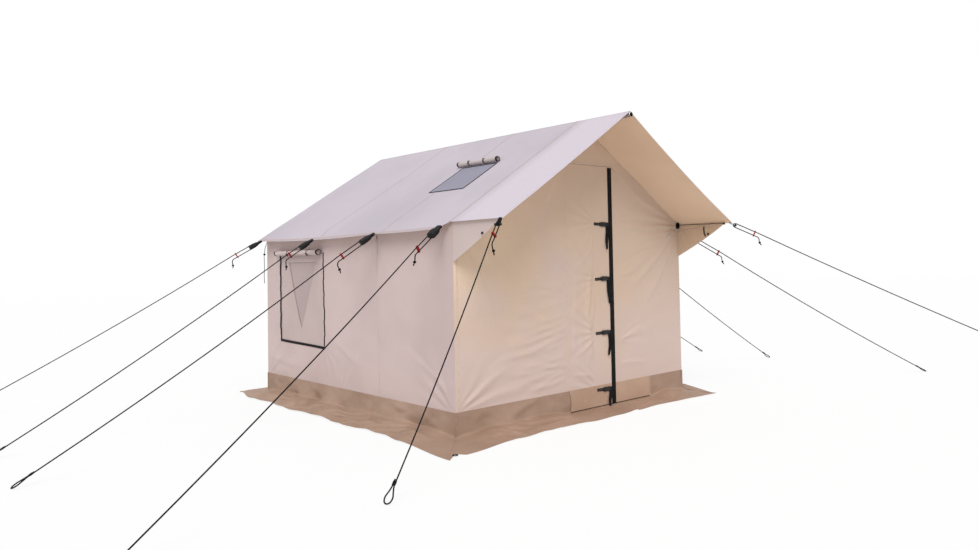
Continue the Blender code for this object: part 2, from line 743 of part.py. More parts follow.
def sod_mesh(name, corner, along, outward, length, tops, mitres):
    """A strip of sod cloth from corner on: tops gives its band's height at each place along it."""
    count = max(4, round(length / SOD_STATION))
    places = [length * step / count for step in range(count + 1)]
    places += [place for place, top in tops[1:]]
    places += [place - DOOR_STEP for place, top in tops[1:]]
    sections = []
    ordered = sorted(places)
    for index, place in enumerate(ordered):
        top = [value for start, value in tops if place >= start][-1]
        phase = 2 * math.pi * place / SOD_FOLD_PITCH
        rise = SOD_FOLD_RISE * (1 - math.cos(phase)) / 2
        if top < tops[0][1]:
            rise *= DOOR_TREAD_SHARE
        reach = SOD_APRON + SOD_SCALLOP * math.sin(phase * 2 / 3)
        from_start, from_end = index, len(ordered) - 1 - index
        skew = 0.0
        if from_start < len(SOD_MITRE_SHARES):
            skew = -SOD_MITRE_SHARES[from_start] * mitres[0]
        if from_end < len(SOD_MITRE_SHARES):
            skew = SOD_MITRE_SHARES[from_end] * mitres[1]
        if from_start == 0 and mitres[0] or from_end == 0 and mitres[1]:
            reach = SOD_APRON * SOD_TIP_SHARE
        sections.append(
            [
                corner + along * (place + skew * max(out, 0.0)) + outward * out + UP * height
                for out, height in sod_section(top, reach, rise)
            ]
        )
    return loft_mesh(name, sections)


def build_sod():
    band = SOD_SEAM_HEIGHT - SEAM_GAP
    x_axis, y_axis = Vector((1, 0, 0)), Vector((0, 1, 0))
    whole = ((0.0, band),)
    for side, word in ((LEFT, "left"), (RIGHT, "right")):
        corner = Vector((side * HALF_WIDTH, FRONT_Y, 0.0))
        slants = (SOD_SIDE_SLANT_SHARE, SOD_END_SLANT_SHARE)
        mesh = sod_mesh("sod", corner, y_axis, side * x_axis, TENT_LENGTH, whole, slants)
        add_mesh(f"sod_cloth_{word}", mesh, "sod_cloth")
    corner = Vector((-INNER_HALF_WIDTH, BACK_Y, 0.0))
    slants = (SOD_SIDE_SLANT_SHARE, SOD_SIDE_SLANT_SHARE)
    mesh = sod_mesh("sod", corner, x_axis, y_axis, 2 * INNER_HALF_WIDTH, whole, slants)
    add_mesh("sod_cloth_back", mesh, "sod_cloth")

    corner = Vector((-INNER_HALF_WIDTH, FRONT_Y, 0.0))
    jamb = INNER_HALF_WIDTH + DOOR_HINGE_LEFT - SEAM_GAP
    length = INNER_HALF_WIDTH + DOOR_ZIP
    tops = ((0.0, band), (jamb, DOOR_SILL))
    slants = (SOD_END_SLANT_SHARE, 0)
    mesh = sod_mesh("sod", corner, x_axis, -y_axis, length, tops, slants)
    add_mesh("sod_cloth_front_left", mesh, "sod_cloth")

    corner = Vector((INNER_HALF_WIDTH, FRONT_Y, 0.0))
    jamb = INNER_HALF_WIDTH - DOOR_HINGE_RIGHT - SEAM_GAP
    length = INNER_HALF_WIDTH - DOOR_ZIP - DOOR_GAP
    tops = ((0.0, band), (jamb, DOOR_SILL))
    mesh = sod_mesh("sod", corner, -x_axis, -y_axis, length, tops, slants)
    add_mesh("sod_cloth_front_right", mesh, "sod_cloth")


# Door


def socket_place(height):
    """The outer face of the left leaf at a buckle, with the socket's mouth towards the zip."""
    return Vector((DOOR_ZIP - SOCKET_SETBACK, FRONT_Y, height))


def socket_mesh(height):
    """The buckle's socket: a waisted shell, still solid, with its mouth towards +X."""
    half, waist, length = SOCKET_HALF, SOCKET_WAIST, SOCKET_LENGTH
    outline = [
        (-length, -half + waist),
        (-length / 2, -half),
        (-length / 4, -half + waist),
        (0.0, -half),
        (0.0, half),
        (-length / 4, half - waist),
        (-length / 2, half),
        (-length, half - waist),
    ]
    origin = socket_place(height) + Vector((0.0, BUCKLE_SINK, 0.0))
    place = facing(origin, Vector((1, 0, 0)), UP)
    return plate_mesh("socket", outline, [], SOCKET_DEPTH + BUCKLE_SINK, place)


def bore_mesh(height):
    """The space inside a socket, open at its mouth."""
    half = SOCKET_HALF - SOCKET_WAIST - SOCKET_WALL
    outline = box_outline(-SOCKET_BORE_LENGTH, SOCKET_LENGTH, -half, half)
    origin = socket_place(height) - Vector((0.0, SOCKET_WALL, 0.0))
    place = facing(origin, Vector((1, 0, 0)), UP)
    return plate_mesh("bore", outline, [], SOCKET_DEPTH - 2 * SOCKET_WALL, place)


def anchor_tab_mesh(height):
    """The webbing that holds a socket to the leaf."""
    length, thickness, width = ANCHOR_TAB
    start = -SOCKET_LENGTH + ANCHOR_TAB_LAP
    outline = box_outline(start - length, start, -width / 2, width / 2)
    origin = socket_place(height) + Vector((0.0, BUCKLE_SINK, 0.0))
    return plate_mesh("tab", outline, [], thickness + BUCKLE_SINK, facing(origin, Vector((1, 0, 0)), UP))


def plug_outline():
    """The plug from above: a ladder base outside, with two arms and a tongue in the socket."""
    half = SOCKET_HALF - SOCKET_WAIST - SOCKET_WALL - PLUG_FIT
    reach = SOCKET_BORE_LENGTH - PLUG_FIT
    tongue = PLUG_TONGUE / 2
    base = PLUG_SHOULDER + PLUG_BASE
    return [
        (base, -SOCKET_HALF + SOCKET_WAIST),
        (base, SOCKET_HALF - SOCKET_WAIST),
        (PLUG_SHOULDER, SOCKET_HALF - SOCKET_WAIST),
        (PLUG_SHOULDER, half),
        (-reach, half),
        (-reach, half - PLUG_ARM),
        (-PLUG_FIT, half - PLUG_ARM),
        (-PLUG_FIT, tongue),
        (-reach, tongue / 2),
        (-reach, -tongue / 2),
        (-PLUG_FIT, -tongue),
        (-PLUG_FIT, -half + PLUG_ARM),
        (-reach, -half + PLUG_ARM),
        (-reach, -half),
        (PLUG_SHOULDER, -half),
        (PLUG_SHOULDER, -SOCKET_HALF + SOCKET_WAIST),
    ]


def build_plug(number, height, tail):
    """A buckle's plug with the loose end of its webbing hanging from the ladder."""
    start = socket_place(height) - Vector((0.0, SOCKET_WALL + PLUG_FIT, 0.0))
    thickness = SOCKET_DEPTH - 2 * (SOCKET_WALL + PLUG_FIT)
    slot_low = PLUG_SHOULDER + PLUG_BASE - PLUG_SLOT_MARGIN - PLUG_SLOT
    slot = box_outline(slot_low, slot_low + PLUG_SLOT, -TAIL_WIDTH / 2, TAIL_WIDTH / 2)
    place = facing(start, Vector((1, 0, 0)), UP)
    mesh = plate_mesh("plug", plug_outline(), [slot], thickness, place)
    plug = add_mesh(f"buckle_plug_{number}", mesh, "black_plastic")
    left = PLUG_SHOULDER + (PLUG_BASE - TAIL_WIDTH) / 2
    lap = -SOCKET_HALF + SOCKET_WAIST + TAIL_LAP
    hanging = [
        (left, lap),
        (left, -SOCKET_HALF - tail),
        (left + TAIL_WIDTH, -SOCKET_HALF - tail),
        (left + TAIL_WIDTH, lap),
    ]
    origin = start - Vector((0.0, thickness / 2 - TAIL_THICKNESS / 2, 0.0))
    mesh = plate_mesh("tail", hanging, [], TAIL_THICKNESS, facing(origin, Vector((1, 0, 0)), UP))
    union(plug, [add_mesh(f"tail_{number}", mesh, "black_webbing")])


def build_door():
    """Two leaves that meet at the zip, the strip over it, its slider and the buckles."""
    low = DOOR_FOOT
    head = DOOR_HEIGHT - DOOR_GAP
    left = box_outline(DOOR_HINGE_LEFT + SEAM_GAP / 2, DOOR_ZIP, low, head)
    mesh = plate_mesh("leaf", left, [], CANVAS, end_frame(FRONT_Y))
    leaf = add_mesh("door_leaf_left", mesh, "wall_canvas")
    for number, height in enumerate(BUCKLE_HEIGHTS, 1):
        socket = add_mesh(f"socket_{number}", socket_mesh(height), "black_plastic")
        tab = add_mesh(f"anchor_tab_{number}", anchor_tab_mesh(height), "black_webbing")
        bore = add_mesh(f"bore_{number}", bore_mesh(height), "black_plastic")
        union(leaf, [socket, tab])
        cut(leaf, bore)
        build_plug(number, height, TAIL_LENGTHS[number - 1])

    edge = DOOR_ZIP + DOOR_GAP
    knee = DOOR_ZIP + STRIP_WIDTH
    lower = roof_under(DOOR_HINGE_RIGHT) - DOOR_HEAD_MARGIN
    right = [
        (edge, low),
        (DOOR_HINGE_RIGHT - SEAM_GAP / 2, low),
        (DOOR_HINGE_RIGHT - SEAM_GAP / 2, lower - DOOR_GAP),
        (knee, head),
        (edge, head),
    ]
    mesh = plate_mesh("leaf", right, [], CANVAS, end_frame(FRONT_Y))
    add_mesh("door_leaf_right", mesh, "wall_canvas")

    top = DOOR_HEIGHT - STRIP_TOP_MARGIN
    strip = box_outline(edge, edge + STRIP_WIDTH, low, top)
    y = FRONT_Y - SEAM_GAP - STRIP_THICKNESS
    mesh = plate_mesh("strip", strip, [], STRIP_THICKNESS, end_frame(y))
    add_mesh("zip_strip", mesh, "black_webbing")

    width, depth, height = SLIDER_BODY
    pull_width, pull_depth, pull_height = SLIDER_PULL
    right_edge = DOOR_ZIP - SLIDER_EDGE
    middle = right_edge - width / 2
    body = box_outline(right_edge - width, right_edge, SLIDER_HEIGHT, SLIDER_HEIGHT + height)
    face = FRONT_Y + CANVAS + SEAM_GAP
    mesh = plate_mesh("slider", body, [], depth, end_frame(face))
    slider = add_mesh("zip_slider", mesh, "black_plastic")
    pull = box_outline(
        middle - pull_width / 2,
        middle + pull_width / 2,
        SLIDER_HEIGHT + height / 2 - pull_height,
        SLIDER_HEIGHT + height / 2,
    )
    mesh = plate_mesh("pull", pull, [], pull_depth, end_frame(face + depth - pull_depth / 2))
    union(slider, [add_mesh("pull", mesh, "black_plastic")])


# Pole frame


def eave_axis():
    """Place of an eave pole's centre: against the side wall and under the roof."""
    x = INNER_HALF_WIDTH - POLE_RADIUS
    return x, roof_under(x) - POLE_SEAT / math.cos(SLOPE_ANGLE)


def build_frame():
    """Ridge and eave poles, with spigots for the rafters and legs of the two end trusses."""
    trusses = {
        "front": FRONT_Y + CANVAS + SEAM_GAP + POLE_RADIUS,
        "back": BACK_Y - CANVAS - SEAM_GAP - POLE_RADIUS,
    }
    bore = POLE_RADIUS - POLE_WALL
    spigot = bore - SPIGOT_FIT
    eave_x, eave_z = eave_axis()
    ridge_z = ridge_axis()

    front_end = FRONT_Y - AWNING_REACH - RIDGE_POLE_PROUD
    back_end = BACK_Y - CANVAS - SEAM_GAP
    start, end = Vector((0, front_end, ridge_z)), Vector((0, back_end, ridge_z))
    length = back_end - front_end
    profile = (
        (0, 0.0),
        (POLE_RADIUS - RIDGE_CHAMFER, 0.0),
        (POLE_RADIUS, RIDGE_CHAMFER),
        (POLE_RADIUS, length),
        (0, length),
    )
    mesh = turned_mesh("ridge", profile, POLE_SIDES, pole_place(start, end))
    ridge = add_mesh("ridge_pole", mesh, "pole_steel")

    poles = {}
    for side, word in ((LEFT, "left"), (RIGHT, "right")):
        x = side * eave_x
        start = Vector((x, FRONT_Y + CANVAS + SEAM_GAP, eave_z))
        end = Vector((x, back_end, eave_z))
        mesh = rod_mesh("eave", start, end, POLE_RADIUS)
        poles[word] = add_mesh(f"eave_pole_{word}", mesh, "pole_steel")

    for place, y in trusses.items():
        for side, word in ((LEFT, "left"), (RIGHT, "right")):
            eave = Vector((side * eave_x, y, eave_z))
            ridge_point = Vector((0.0, y, ridge_z))
            up_slope = (ridge_point - eave).normalized()
            low = eave + up_slope * POLE_SEAT
            high = ridge_point - up_slope * POLE_SEAT
            run = (high - low).length
            tube = ((bore, 0.0), (POLE_RADIUS, 0.0), (POLE_RADIUS, run), (bore, run))
            mesh = turned_mesh("rafter", tube, POLE_SIDES, pole_place(low, high))
            add_mesh(f"rafter_{place}_{word}", mesh, "pole_steel")

            reach = POLE_RADIUS + SPIGOT_LENGTH
            lower = rod_mesh("spigot", eave, eave + up_slope * reach, spigot)
            upper = rod_mesh("spigot", ridge_point - up_slope * reach, ridge_point, spigot)
            down = rod_mesh("spigot", eave - UP * reach, eave, spigot)
            label = f"{place}_{word}"
            union(ridge, [add_mesh(f"ridge_spigot_{label}", upper, "pole_steel")])
            welds = [
                add_mesh(f"rafter_spigot_{label}", lower, "pole_steel"),
                add_mesh(f"leg_spigot_{label}", down, "pole_steel"),
            ]
            union(poles[word], welds)

            top = eave_z - POLE_SEAT
            leg = (
                (0, 0.0),
                (POLE_RADIUS - FOOT_CHAMFER, 0.0),
                (POLE_RADIUS, FOOT_CHAMFER),
                (POLE_RADIUS, top),
                (bore, top),
                (bore, FOOT_THICKNESS),
                (0, FOOT_THICKNESS),
            )
            ground = Vector((eave.x, y, 0.0))
            mesh = turned_mesh("leg", leg, POLE_SIDES, pole_place(ground, ground + UP))
            add_mesh(f"leg_{label}", mesh, "pole_steel")

    overrun = Vector((0.0, BORE_OVERRUN, 0.0))
    for word, pole in (("ridge", ridge), *poles.items()):
        x, z = {"ridge": (0.0, ridge_z), "left": (-eave_x, eave_z), "right": (eave_x, eave_z)}[word]
        near, far = Vector((x, front_end, z)) - overrun, Vector((x, back_end, z)) + overrun
        cut(pole, add_mesh(f"bore_{word}", rod_mesh("bore", near, far, bore), "pole_steel"))


# Guy lines


def smooth(points):
    """Points read from a smooth curve through a route: two for a short stretch, one for a long."""
    out = [points[0]]
    padded = [2 * points[0] - points[1], *points, 2 * points[-1] - points[-2]]
    for a, b, c, d in zip(padded, padded[1:], padded[2:], padded[3:]):
        if (c - b).length < LINE_STEP:
            knots = [0.0]
            for first, second in ((a, b), (b, c), (c, d)):
                knots.append(knots[-1] + math.sqrt((second - first).length))
            t0, t1, t2, t3 = knots
            t = (t1 + t2) / 2
            ab = a * ((t1 - t) / (t1 - t0)) + b * ((t - t0) / (t1 - t0))
            bc = b * ((t2 - t) / (t2 - t1)) + c * ((t - t1) / (t2 - t1))
            cd = c * ((t3 - t) / (t3 - t2)) + d * ((t - t2) / (t3 - t2))
            abc = ab * ((t2 - t) / (t2 - t0)) + bc * ((t - t0) / (t2 - t0))
            bcd = bc * ((t3 - t) / (t3 - t1)) + cd * ((t - t1) / (t3 - t1))
            out.append(abc * ((t2 - t) / (t2 - t1)) + bcd * ((t - t1) / (t2 - t1)))
        out.append(c)
    return out


def line_route(bar, ground, axes, hold, tail):
    """Hand-made route of a guy line: loose tail, round the strap's bar, down to its loop."""
    along, under, beside = axes
    outward = Vector((along.x, along.y, 0.0)).normalized()
    leaves = bar + along * (hold + LINE_LEAD) + under * LINE_BEND
    falls = [leaves + outward * out - UP * down for out, down in TAIL_ROUTE]
    falls.append(falls[-1] - UP * tail)
    route = falls[::-1]
    route.append(bar + along * hold + under * LINE_BEND)
    route.append(bar + along * LINE_BEND + under * LINE_BEND)
    for step in range(5):
        turn = math.pi / 2 + math.pi * step / 4
        route.append(bar + (along * math.cos(turn) + under * math.sin(turn)) * LINE_BEND)
    route.append(bar + along * LINE_BEND - under * LINE_BEND)
    route.append(bar + along * (hold + LINE_LEAD) - under * LINE_BEND)
    diameter = 2 * LINE_RADIUS
    loop = ground - along * LOOP_LENGTH_SHARE * diameter
    begin = route[-1]
    route += [begin.lerp(loop, share) for share in LINE_SPAN_SHARES]
    route += [loop + (along * a + beside * b) * diameter for a, b in LOOP_SHARES]
    return route


def add_rope(name, points, radius):
    """A rope along those points."""
    curve = bpy.data.curves.new(name, "CURVE")
    curve.dimensions = "3D"
    curve.bevel_depth = radius
    curve.bevel_resolution = 2
    curve.use_fill_caps = True
    spline = curve.splines.new("POLY")
    spline.points.add(len(points) - 1)
    for place, point in zip(spline.points, points):
        place.co = (*point, 1.0)
    curve.materials.append(material("black_rope"))
    rope = bpy.data.objects.new(name, curve)
    bpy.context.scene.collection.objects.link(rope)
    return rope


def tensioner_mesh():
    """A flat bar with two holes, its length along Y, that the line runs through along X."""
    length, width, thickness = TENSIONER_PLATE
    corner = TENSIONER_CORNER
    a, b = length / 2, width / 2
    outline = [
        (-a + corner, -b),
        (a - corner, -b),
        (a, -b + corner),
        (a, b - corner),
        (a - corner, b),
        (-a + corner, b),
        (-a, b - corner),
        (-a, -b + corner),
    ]
    holes = []
    for centre in (-LINE_BEND, LINE_BEND):
        turns = [2 * math.pi * step / TENSIONER_HOLE_SIDES for step in range(TENSIONER_HOLE_SIDES)]
        holes.append(
            [
                (centre + TENSIONER_HOLE * math.cos(turn), TENSIONER_HOLE * math.sin(turn))
                for turn in turns
            ]
        )
    turned = Matrix(((0, 0, 1, -thickness / 2), (1, 0, 0, 0), (0, 1, 0, 0), (0, 0, 0, 1)))
    return plate_mesh("tensioner", outline, holes, thickness, turned)


def build_guy_lines():
    mesh = tensioner_mesh()
    mesh.materials.append(material("red_alloy"))
    for name, (side, distance, place, hold, tail) in GUY_LINES.items():
        root, reach = line_anchor(side, distance)
        ground = ground_end(side, place)
        axes = line_axes(root, ground)
        bar = root + axes[0] * reach
        points = smooth(line_route(bar, ground, axes, hold, tail))
        add_rope(f"guy_line_{name}", points, LINE_RADIUS)
        tensioner = bpy.data.objects.new(f"tensioner_{name}", mesh)
        bpy.context.scene.collection.objects.link(tensioner)
        turned = Matrix(axes).transposed().to_4x4()
        tensioner.matrix_world = Matrix.Translation(bar + axes[0] * hold) @ turned

    x = -HANGING_CORD_OUT
    seam = FRONT_Y + HANGING_CORD_ROUTE[0][1]
    z = roof_top(x, seam) - ROOF_DROP - HANGING_CORD_FIT
    route = [Vector((x + a, FRONT_Y + b, z - c)) for a, b, c in HANGING_CORD_ROUTE]
    add_rope("hanging_cord", route, HANGING_CORD_RADIUS)


def main():
    clear_scene()
    build_roof()
    build_side(LEFT, "left")
    build_side(RIGHT, "right")
    build_ends()
    build_sod()
    build_door()
    build_frame()
    build_guy_lines()


main()
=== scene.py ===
"""The looks of a canvas wall tent: cloth, webbing, rope, buckles, studio and camera."""

from __future__ import annotations

import logging
import math
from collections.abc import Callable, Iterable, Sequence
from dataclasses import dataclass
from enum import Enum
from typing import Any

import bmesh
import bpy
import numpy as np
from mathutils import Matrix, Vector, noise
from mathutils.geometry import tessellate_polygon


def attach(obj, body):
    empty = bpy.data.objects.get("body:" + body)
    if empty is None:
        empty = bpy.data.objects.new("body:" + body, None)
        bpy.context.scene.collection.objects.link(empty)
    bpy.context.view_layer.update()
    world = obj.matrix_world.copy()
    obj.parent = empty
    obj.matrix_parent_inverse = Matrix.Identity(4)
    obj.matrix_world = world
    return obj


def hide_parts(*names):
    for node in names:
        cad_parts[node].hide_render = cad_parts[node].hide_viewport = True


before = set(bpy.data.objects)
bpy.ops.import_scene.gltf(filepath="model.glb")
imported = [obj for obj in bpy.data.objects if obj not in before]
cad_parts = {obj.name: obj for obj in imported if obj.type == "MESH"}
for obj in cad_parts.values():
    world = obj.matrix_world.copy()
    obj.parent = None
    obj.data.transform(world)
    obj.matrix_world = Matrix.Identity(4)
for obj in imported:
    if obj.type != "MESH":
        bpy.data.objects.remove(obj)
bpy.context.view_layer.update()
LOG = logging.getLogger("wall_tent")
UP = Vector((0.0, 0.0, 1.0))
ROOT = "tent"
PERLIN = "PERLIN_ORIGINAL"
WALL_FOOT = 0.172  # where the walls' cloth ends, behind the sod cloth
WALL_CLOTH = 0.0022
THIN_CLOTH = 0.0014
TAPE = 0.0018

Point2 = tuple[float, float]
Colour = tuple[float, float, float]


def eased(share: Any) -> Any:
    """A smooth step from a share that runs evenly from nought to one."""
    return share * share * (3 - 2 * share)


def turns(count: int) -> list[float]:
    """Angles that divide a full turn evenly."""
    return [2 * math.pi * step / count for step in range(count)]


def squared_off(value: float, power: float) -> float:
    """A sine or cosine raised to a power below one, with its sign kept."""
    return math.copysign(abs(value) ** power, value)


def tinted(colour: Colour, share: float, lift: float = 0.0) -> Colour:
    """A colour made darker or lighter by a share, and lifted."""
    return tuple(min(1.0, part * share + lift) for part in colour)


# Shader helpers


class Value:
    """A socket that takes part in sums written as Python expressions."""

    def __init__(self, tree: NodeTree, socket: bpy.types.NodeSocket) -> None:
        """Wrap one output socket of a tree."""
        self.tree = tree
        self.socket = socket

    def _math(self, operation: str, *others: Any, swap: bool = False) -> Value:
        """Add one Math node.

        Args:
            operation: Blender's name of the operation.
            others: the second and third terms, numbers or values.
            swap: True where this value comes second.

        Returns:
            The node's result.
        """
        terms = [self, *others]
        if swap:
            terms.reverse()
        return self.tree.node("ShaderNodeMath", {"operation": operation}, *terms).out()

    def __add__(self, other: Any) -> Value:
        """Sum."""
        return self._math("ADD", other)

    __radd__ = __add__

    def __sub__(self, other: Any) -> Value:
        """Difference."""
        return self._math("SUBTRACT", other)

    def __rsub__(self, other: Any) -> Value:
        """Difference with this value second."""
        return self._math("SUBTRACT", other, swap=True)

    def __mul__(self, other: Any) -> Value:
        """Product."""
        return self._math("MULTIPLY", other)

    __rmul__ = __mul__

    def __truediv__(self, other: Any) -> Value:
        """Quotient."""
        return self._math("DIVIDE", other)

    def __lt__(self, other: Any) -> Value:
        """One where this value is the smaller, and nought elsewhere."""
        return self._math("LESS_THAN", other)

    def sine(self) -> Value:
        """Sine of the value in radians."""
        return self._math("SINE")

    def size(self) -> Value:
        """The value without its sign."""
        return self._math("ABSOLUTE")

    def fraction(self) -> Value:
        """The part after the decimal point."""
        return self._math("FRACT")

    def at_least(self, other: Any) -> Value:
        """The larger of two values."""
        return self._math("MAXIMUM", other)

    def between(self, low: float, high: float) -> Value:
        """Nought below low, one above high, and a smooth step between them.

        Args:
            low: where the step starts.
            high: where the step ends.

        Returns:
            The stepped value.
        """
        settings = {"interpolation_type": "SMOOTHSTEP"}
        span = {"From Min": low, "From Max": high}
        return self.tree.node("ShaderNodeMapRange", settings, Value=self, **span).out()


class Placed:
    """A node already in the tree, whose outputs are taken by name."""

    def __init__(self, tree: NodeTree, node: bpy.types.Node) -> None:
        """Keep the node with its tree."""
        self.tree = tree
        self.node = node

    def out(self, name: str | int = 0) -> Value:
        """One output of the node."""
        return Value(self.tree, self.node.outputs[name])


class NodeTree:
    """A material's or world's node tree under construction."""

    def __init__(self, owner: bpy.types.Material | bpy.types.World) -> None:
        """Empty the owner's tree."""
        owner.use_nodes = True
        self.tree = owner.node_tree
        self.tree.nodes.clear()

    def link(self, value: Value, socket: bpy.types.NodeSocket) -> None:
        """Join a value to an input socket."""
        self.tree.links.new(value.socket, socket)

    def node(
        self, kind: str, settings: dict[str, Any] | None = None, *terms: Any, **inputs: Any
    ) -> Placed:
        """Add a node.

        Args:
            kind: Blender's type name of the node.
            settings: attributes that are set before the sockets.
            terms: values for the first sockets, in order.
            inputs: values for sockets by name.

        Returns:
            The node with its outputs.
        """
        node = self.tree.nodes.new(kind)
        for name, setting in (settings or {}).items():
            setattr(node, name, setting)
        placed = Placed(self, node)
        pairs = list(zip(node.inputs, terms))
        pairs += [(node.inputs[name], term) for name, term in inputs.items()]
        for socket, term in pairs:
            if isinstance(term, Value):
                self.link(term, socket)
            else:
                socket.default_value = term
        return placed

    def seen(self) -> Value:
        """One for rays from the camera, mirrored or passed through, and nought for the rest."""
        rays = self.node("ShaderNodeLightPath")
        camera, mirrored, passed = (rays.out(f"Is {kind} Ray") for kind in ("Camera", "Glossy", "Transmission"))
        return camera.at_least(mirrored).at_least(passed)


class Shader(NodeTree):
    """One material under construction, with its Principled shader."""

    def __init__(self, name: str) -> None:
        """Start a material of that name."""
        self.material = bpy.data.materials.new(name)
        super().__init__(self.material)
        self.principled = self.node("ShaderNodeBsdfPrincipled")
        self.surface = self.node("ShaderNodeOutputMaterial").node.inputs["Surface"]
        self.link(self.principled.out(), self.surface)

    def place(self) -> tuple[Value, Value, Value]:
        """The surface point in the object's own metres."""
        where = self.node("ShaderNodeTexCoord").out("Object")
        parts = self.node("ShaderNodeSeparateXYZ", None, where)
        return parts.out("X"), parts.out("Y"), parts.out("Z")

    def flat(self) -> tuple[Value, Value]:
        """The surface point on the cut cloth, in metres."""
        where = self.node("ShaderNodeUVMap", {"uv_map": "flat"}).out()
        parts = self.node("ShaderNodeSeparateXYZ", None, where)
        return parts.out("X"), parts.out("Y")

    def vector(self, x: Any, y: Any, z: Any = 0.0) -> Value:
        """A vector from three values."""
        return self.node("ShaderNodeCombineXYZ", None, x, y, z).out()

    def noise(self, where: Value, scale: float, detail: float = 2.0, rough: float = 0.5) -> Value:
        """Cloudy noise about a half.

        Args:
            where: the vector to read it at.
            scale: clouds to a metre.
            detail: how many finer layers it has.
            rough: how strong those are.

        Returns:
            A value from nought to one.
        """
        named = {"Scale": scale, "Detail": detail, "Roughness": rough}
        return self.node("ShaderNodeTexNoise", None, Vector=where, **named).out("Fac")

    def blend(self, share: Any, first: Any, second: Any) -> Value:
        """A mix of two colours.

        Args:
            share: how much of the second there is.
            first: a colour or its value.
            second: a colour or its value.

        Returns:
            The mixed colour.
        """
        placed = self.node("ShaderNodeMix", {"data_type": "RGBA"})
        sockets = placed.node.inputs
        for socket, term in ((sockets[0], share), (sockets[6], first), (sockets[7], second)):
            if isinstance(term, Value):
                self.link(term, socket)
            elif isinstance(term, (int, float)):
                socket.default_value = term
            else:
                socket.default_value = (*term, 1.0)
        return placed.out(2)

    def bump(self, height: Value, strength: float, distance: float, below: Value | None = None) -> Value:
        """A Bump node.

        Args:
            height: the relief.
            strength: its share.
            distance: its depth in metres.
            below: the normal of another bump under it.

        Returns:
            The bent normal.
        """
        named: dict[str, Any] = {"Strength": strength, "Distance": distance, "Height": height}
        if below is not None:
            named["Normal"] = below
        return self.node("ShaderNodeBump", None, **named).out()

    def dress(self, **inputs: Any) -> bpy.types.Material:
        """Set the Principled shader's sockets and finish the material.

        Args:
            inputs: socket names with underscores for spaces, and their values.

        Returns:
            The material.
        """
        for name, term in inputs.items():
            socket = self.principled.node.inputs[name.replace("_", " ")]
            if isinstance(term, Value):
                self.link(term, socket)
            elif isinstance(term, tuple) and len(term) == 3:
                socket.default_value = (*term, 1.0)
            else:
                socket.default_value = term
        return self.material


# Finishes


@dataclass(frozen=True)
class Canvas:
    """Cotton duck: a plain weave with slubs, soft clouds of shade and fine creases."""

    name: str
    light: Colour
    shade: Colour
    slot: str = "wall_canvas"
    cloud_scale: float = 1.1
    crease_depth: float = 0.0026
    sheen: float = 0.08
    low: Colour | None = None
    # painted light: lighter colour for the awning part of the roof
    painted_awning_light: Colour | None = None
    # painted shade: darker colour for the front wall's upper middle, under the awning
    painted_shade: Colour | None = None
    # painted light: lighter colour for the front wall's upper left
    painted_light: Colour | None = None

    def material(self) -> bpy.types.Material:
        """Build the cloth's material."""
        s = Shader(self.name)
        x, y, z = s.place()
        where = s.vector(x, y, z)
        clouds = s.noise(where, self.cloud_scale, 3.0, 0.55)
        colour = s.blend(clouds.between(0.36, 0.66), self.light, self.shade)
        if self.low is not None:
            patches = s.noise(where, 1.9, 2.0, 0.5)
            height = z + (patches - 0.5) * 2.4 - x * 0.22
            colour = s.blend(height.between(0.40, 1.45), self.low, colour)
        if self.painted_shade is not None and self.painted_light is not None:
            # painted shade on the front wall from the doorway rightwards, higher up, under the awning
            painted_awning_shade = z.between(0.2, 1.3) * (1.0 - z.between(1.85, 2.05)) * 0.8
            colour = s.blend(x.between(-0.35, 0.35) * painted_awning_shade, colour, self.painted_shade)
            # painted light: the front wall's upper left made lighter
            colour = s.blend((1.0 - x.between(-0.95, -0.35)) * z.between(0.75, 1.3) * 0.8, colour, self.painted_light)
        # painted light: the awning ahead of the front wall is coloured lighter
        if self.painted_awning_light is not None:
            colour = s.blend(y.between(TENT.front - 0.16, TENT.front + 0.02), self.painted_awning_light, colour)
        across = s.noise(s.vector(x * 60.0, y * 60.0, z * 700.0), 1.0, 1.0)
        along = s.noise(s.vector(x * 700.0, y * 700.0, z * 60.0), 1.0, 1.0)
        slubs = (across + along) * 0.5
        colour = s.blend(slubs.between(0.42, 0.72) * 0.5, colour, tinted(self.shade, 0.93))
        threads = ((x + y) * 5200.0).sine() * 0.5 + (z * 5200.0).sine() * 0.5
        weave = s.bump(threads, 0.22, 0.00025)
        folds = s.noise(where, 7.0, 4.0, 0.6)
        crumple = s.noise(where, 24.0, 2.0, 0.5)
        normal = s.bump(folds + crumple * 0.25, 0.42, self.crease_depth, weave)
        return s.dress(
            Base_Color=colour,
            Roughness=clouds * 0.06 + 0.86,
            Normal=normal,
            Sheen_Weight=self.sheen,
            Sheen_Roughness=0.6,
            Specular_IOR_Level=0.2,
        )


@dataclass(frozen=True)
class SeamTape:
    """A felled seam of the same canvas, with two rows of stitches."""

    name: str
    cloth: Colour
    thread: Colour
    slot: str = "wall_canvas"
    stitch: float = 0.005
    row: float = 0.0055

    def material(self) -> bpy.types.Material:
        """Build the seam's material from its flat coordinates."""
        s = Shader(self.name)
        along, across = s.flat()
        rows = ((across.size() - self.row).size() < 0.0011) * ((along / self.stitch).fraction() < 0.72)
        wear = s.noise(s.vector(*s.place()), 30.0, 3.0)
        colour = s.blend(wear.between(0.4, 0.7), self.cloth, tinted(self.cloth, 0.9))
        colour = s.blend(rows, colour, self.thread)
        weave = ((along * 5200.0).sine() + (across * 5200.0).sine()) * 0.5
        normal = s.bump(rows, 0.5, 0.0006, s.bump(weave, 0.2, 0.0003))
        return s.dress(Base_Color=colour, Roughness=0.88, Normal=normal, Specular_IOR_Level=0.2)


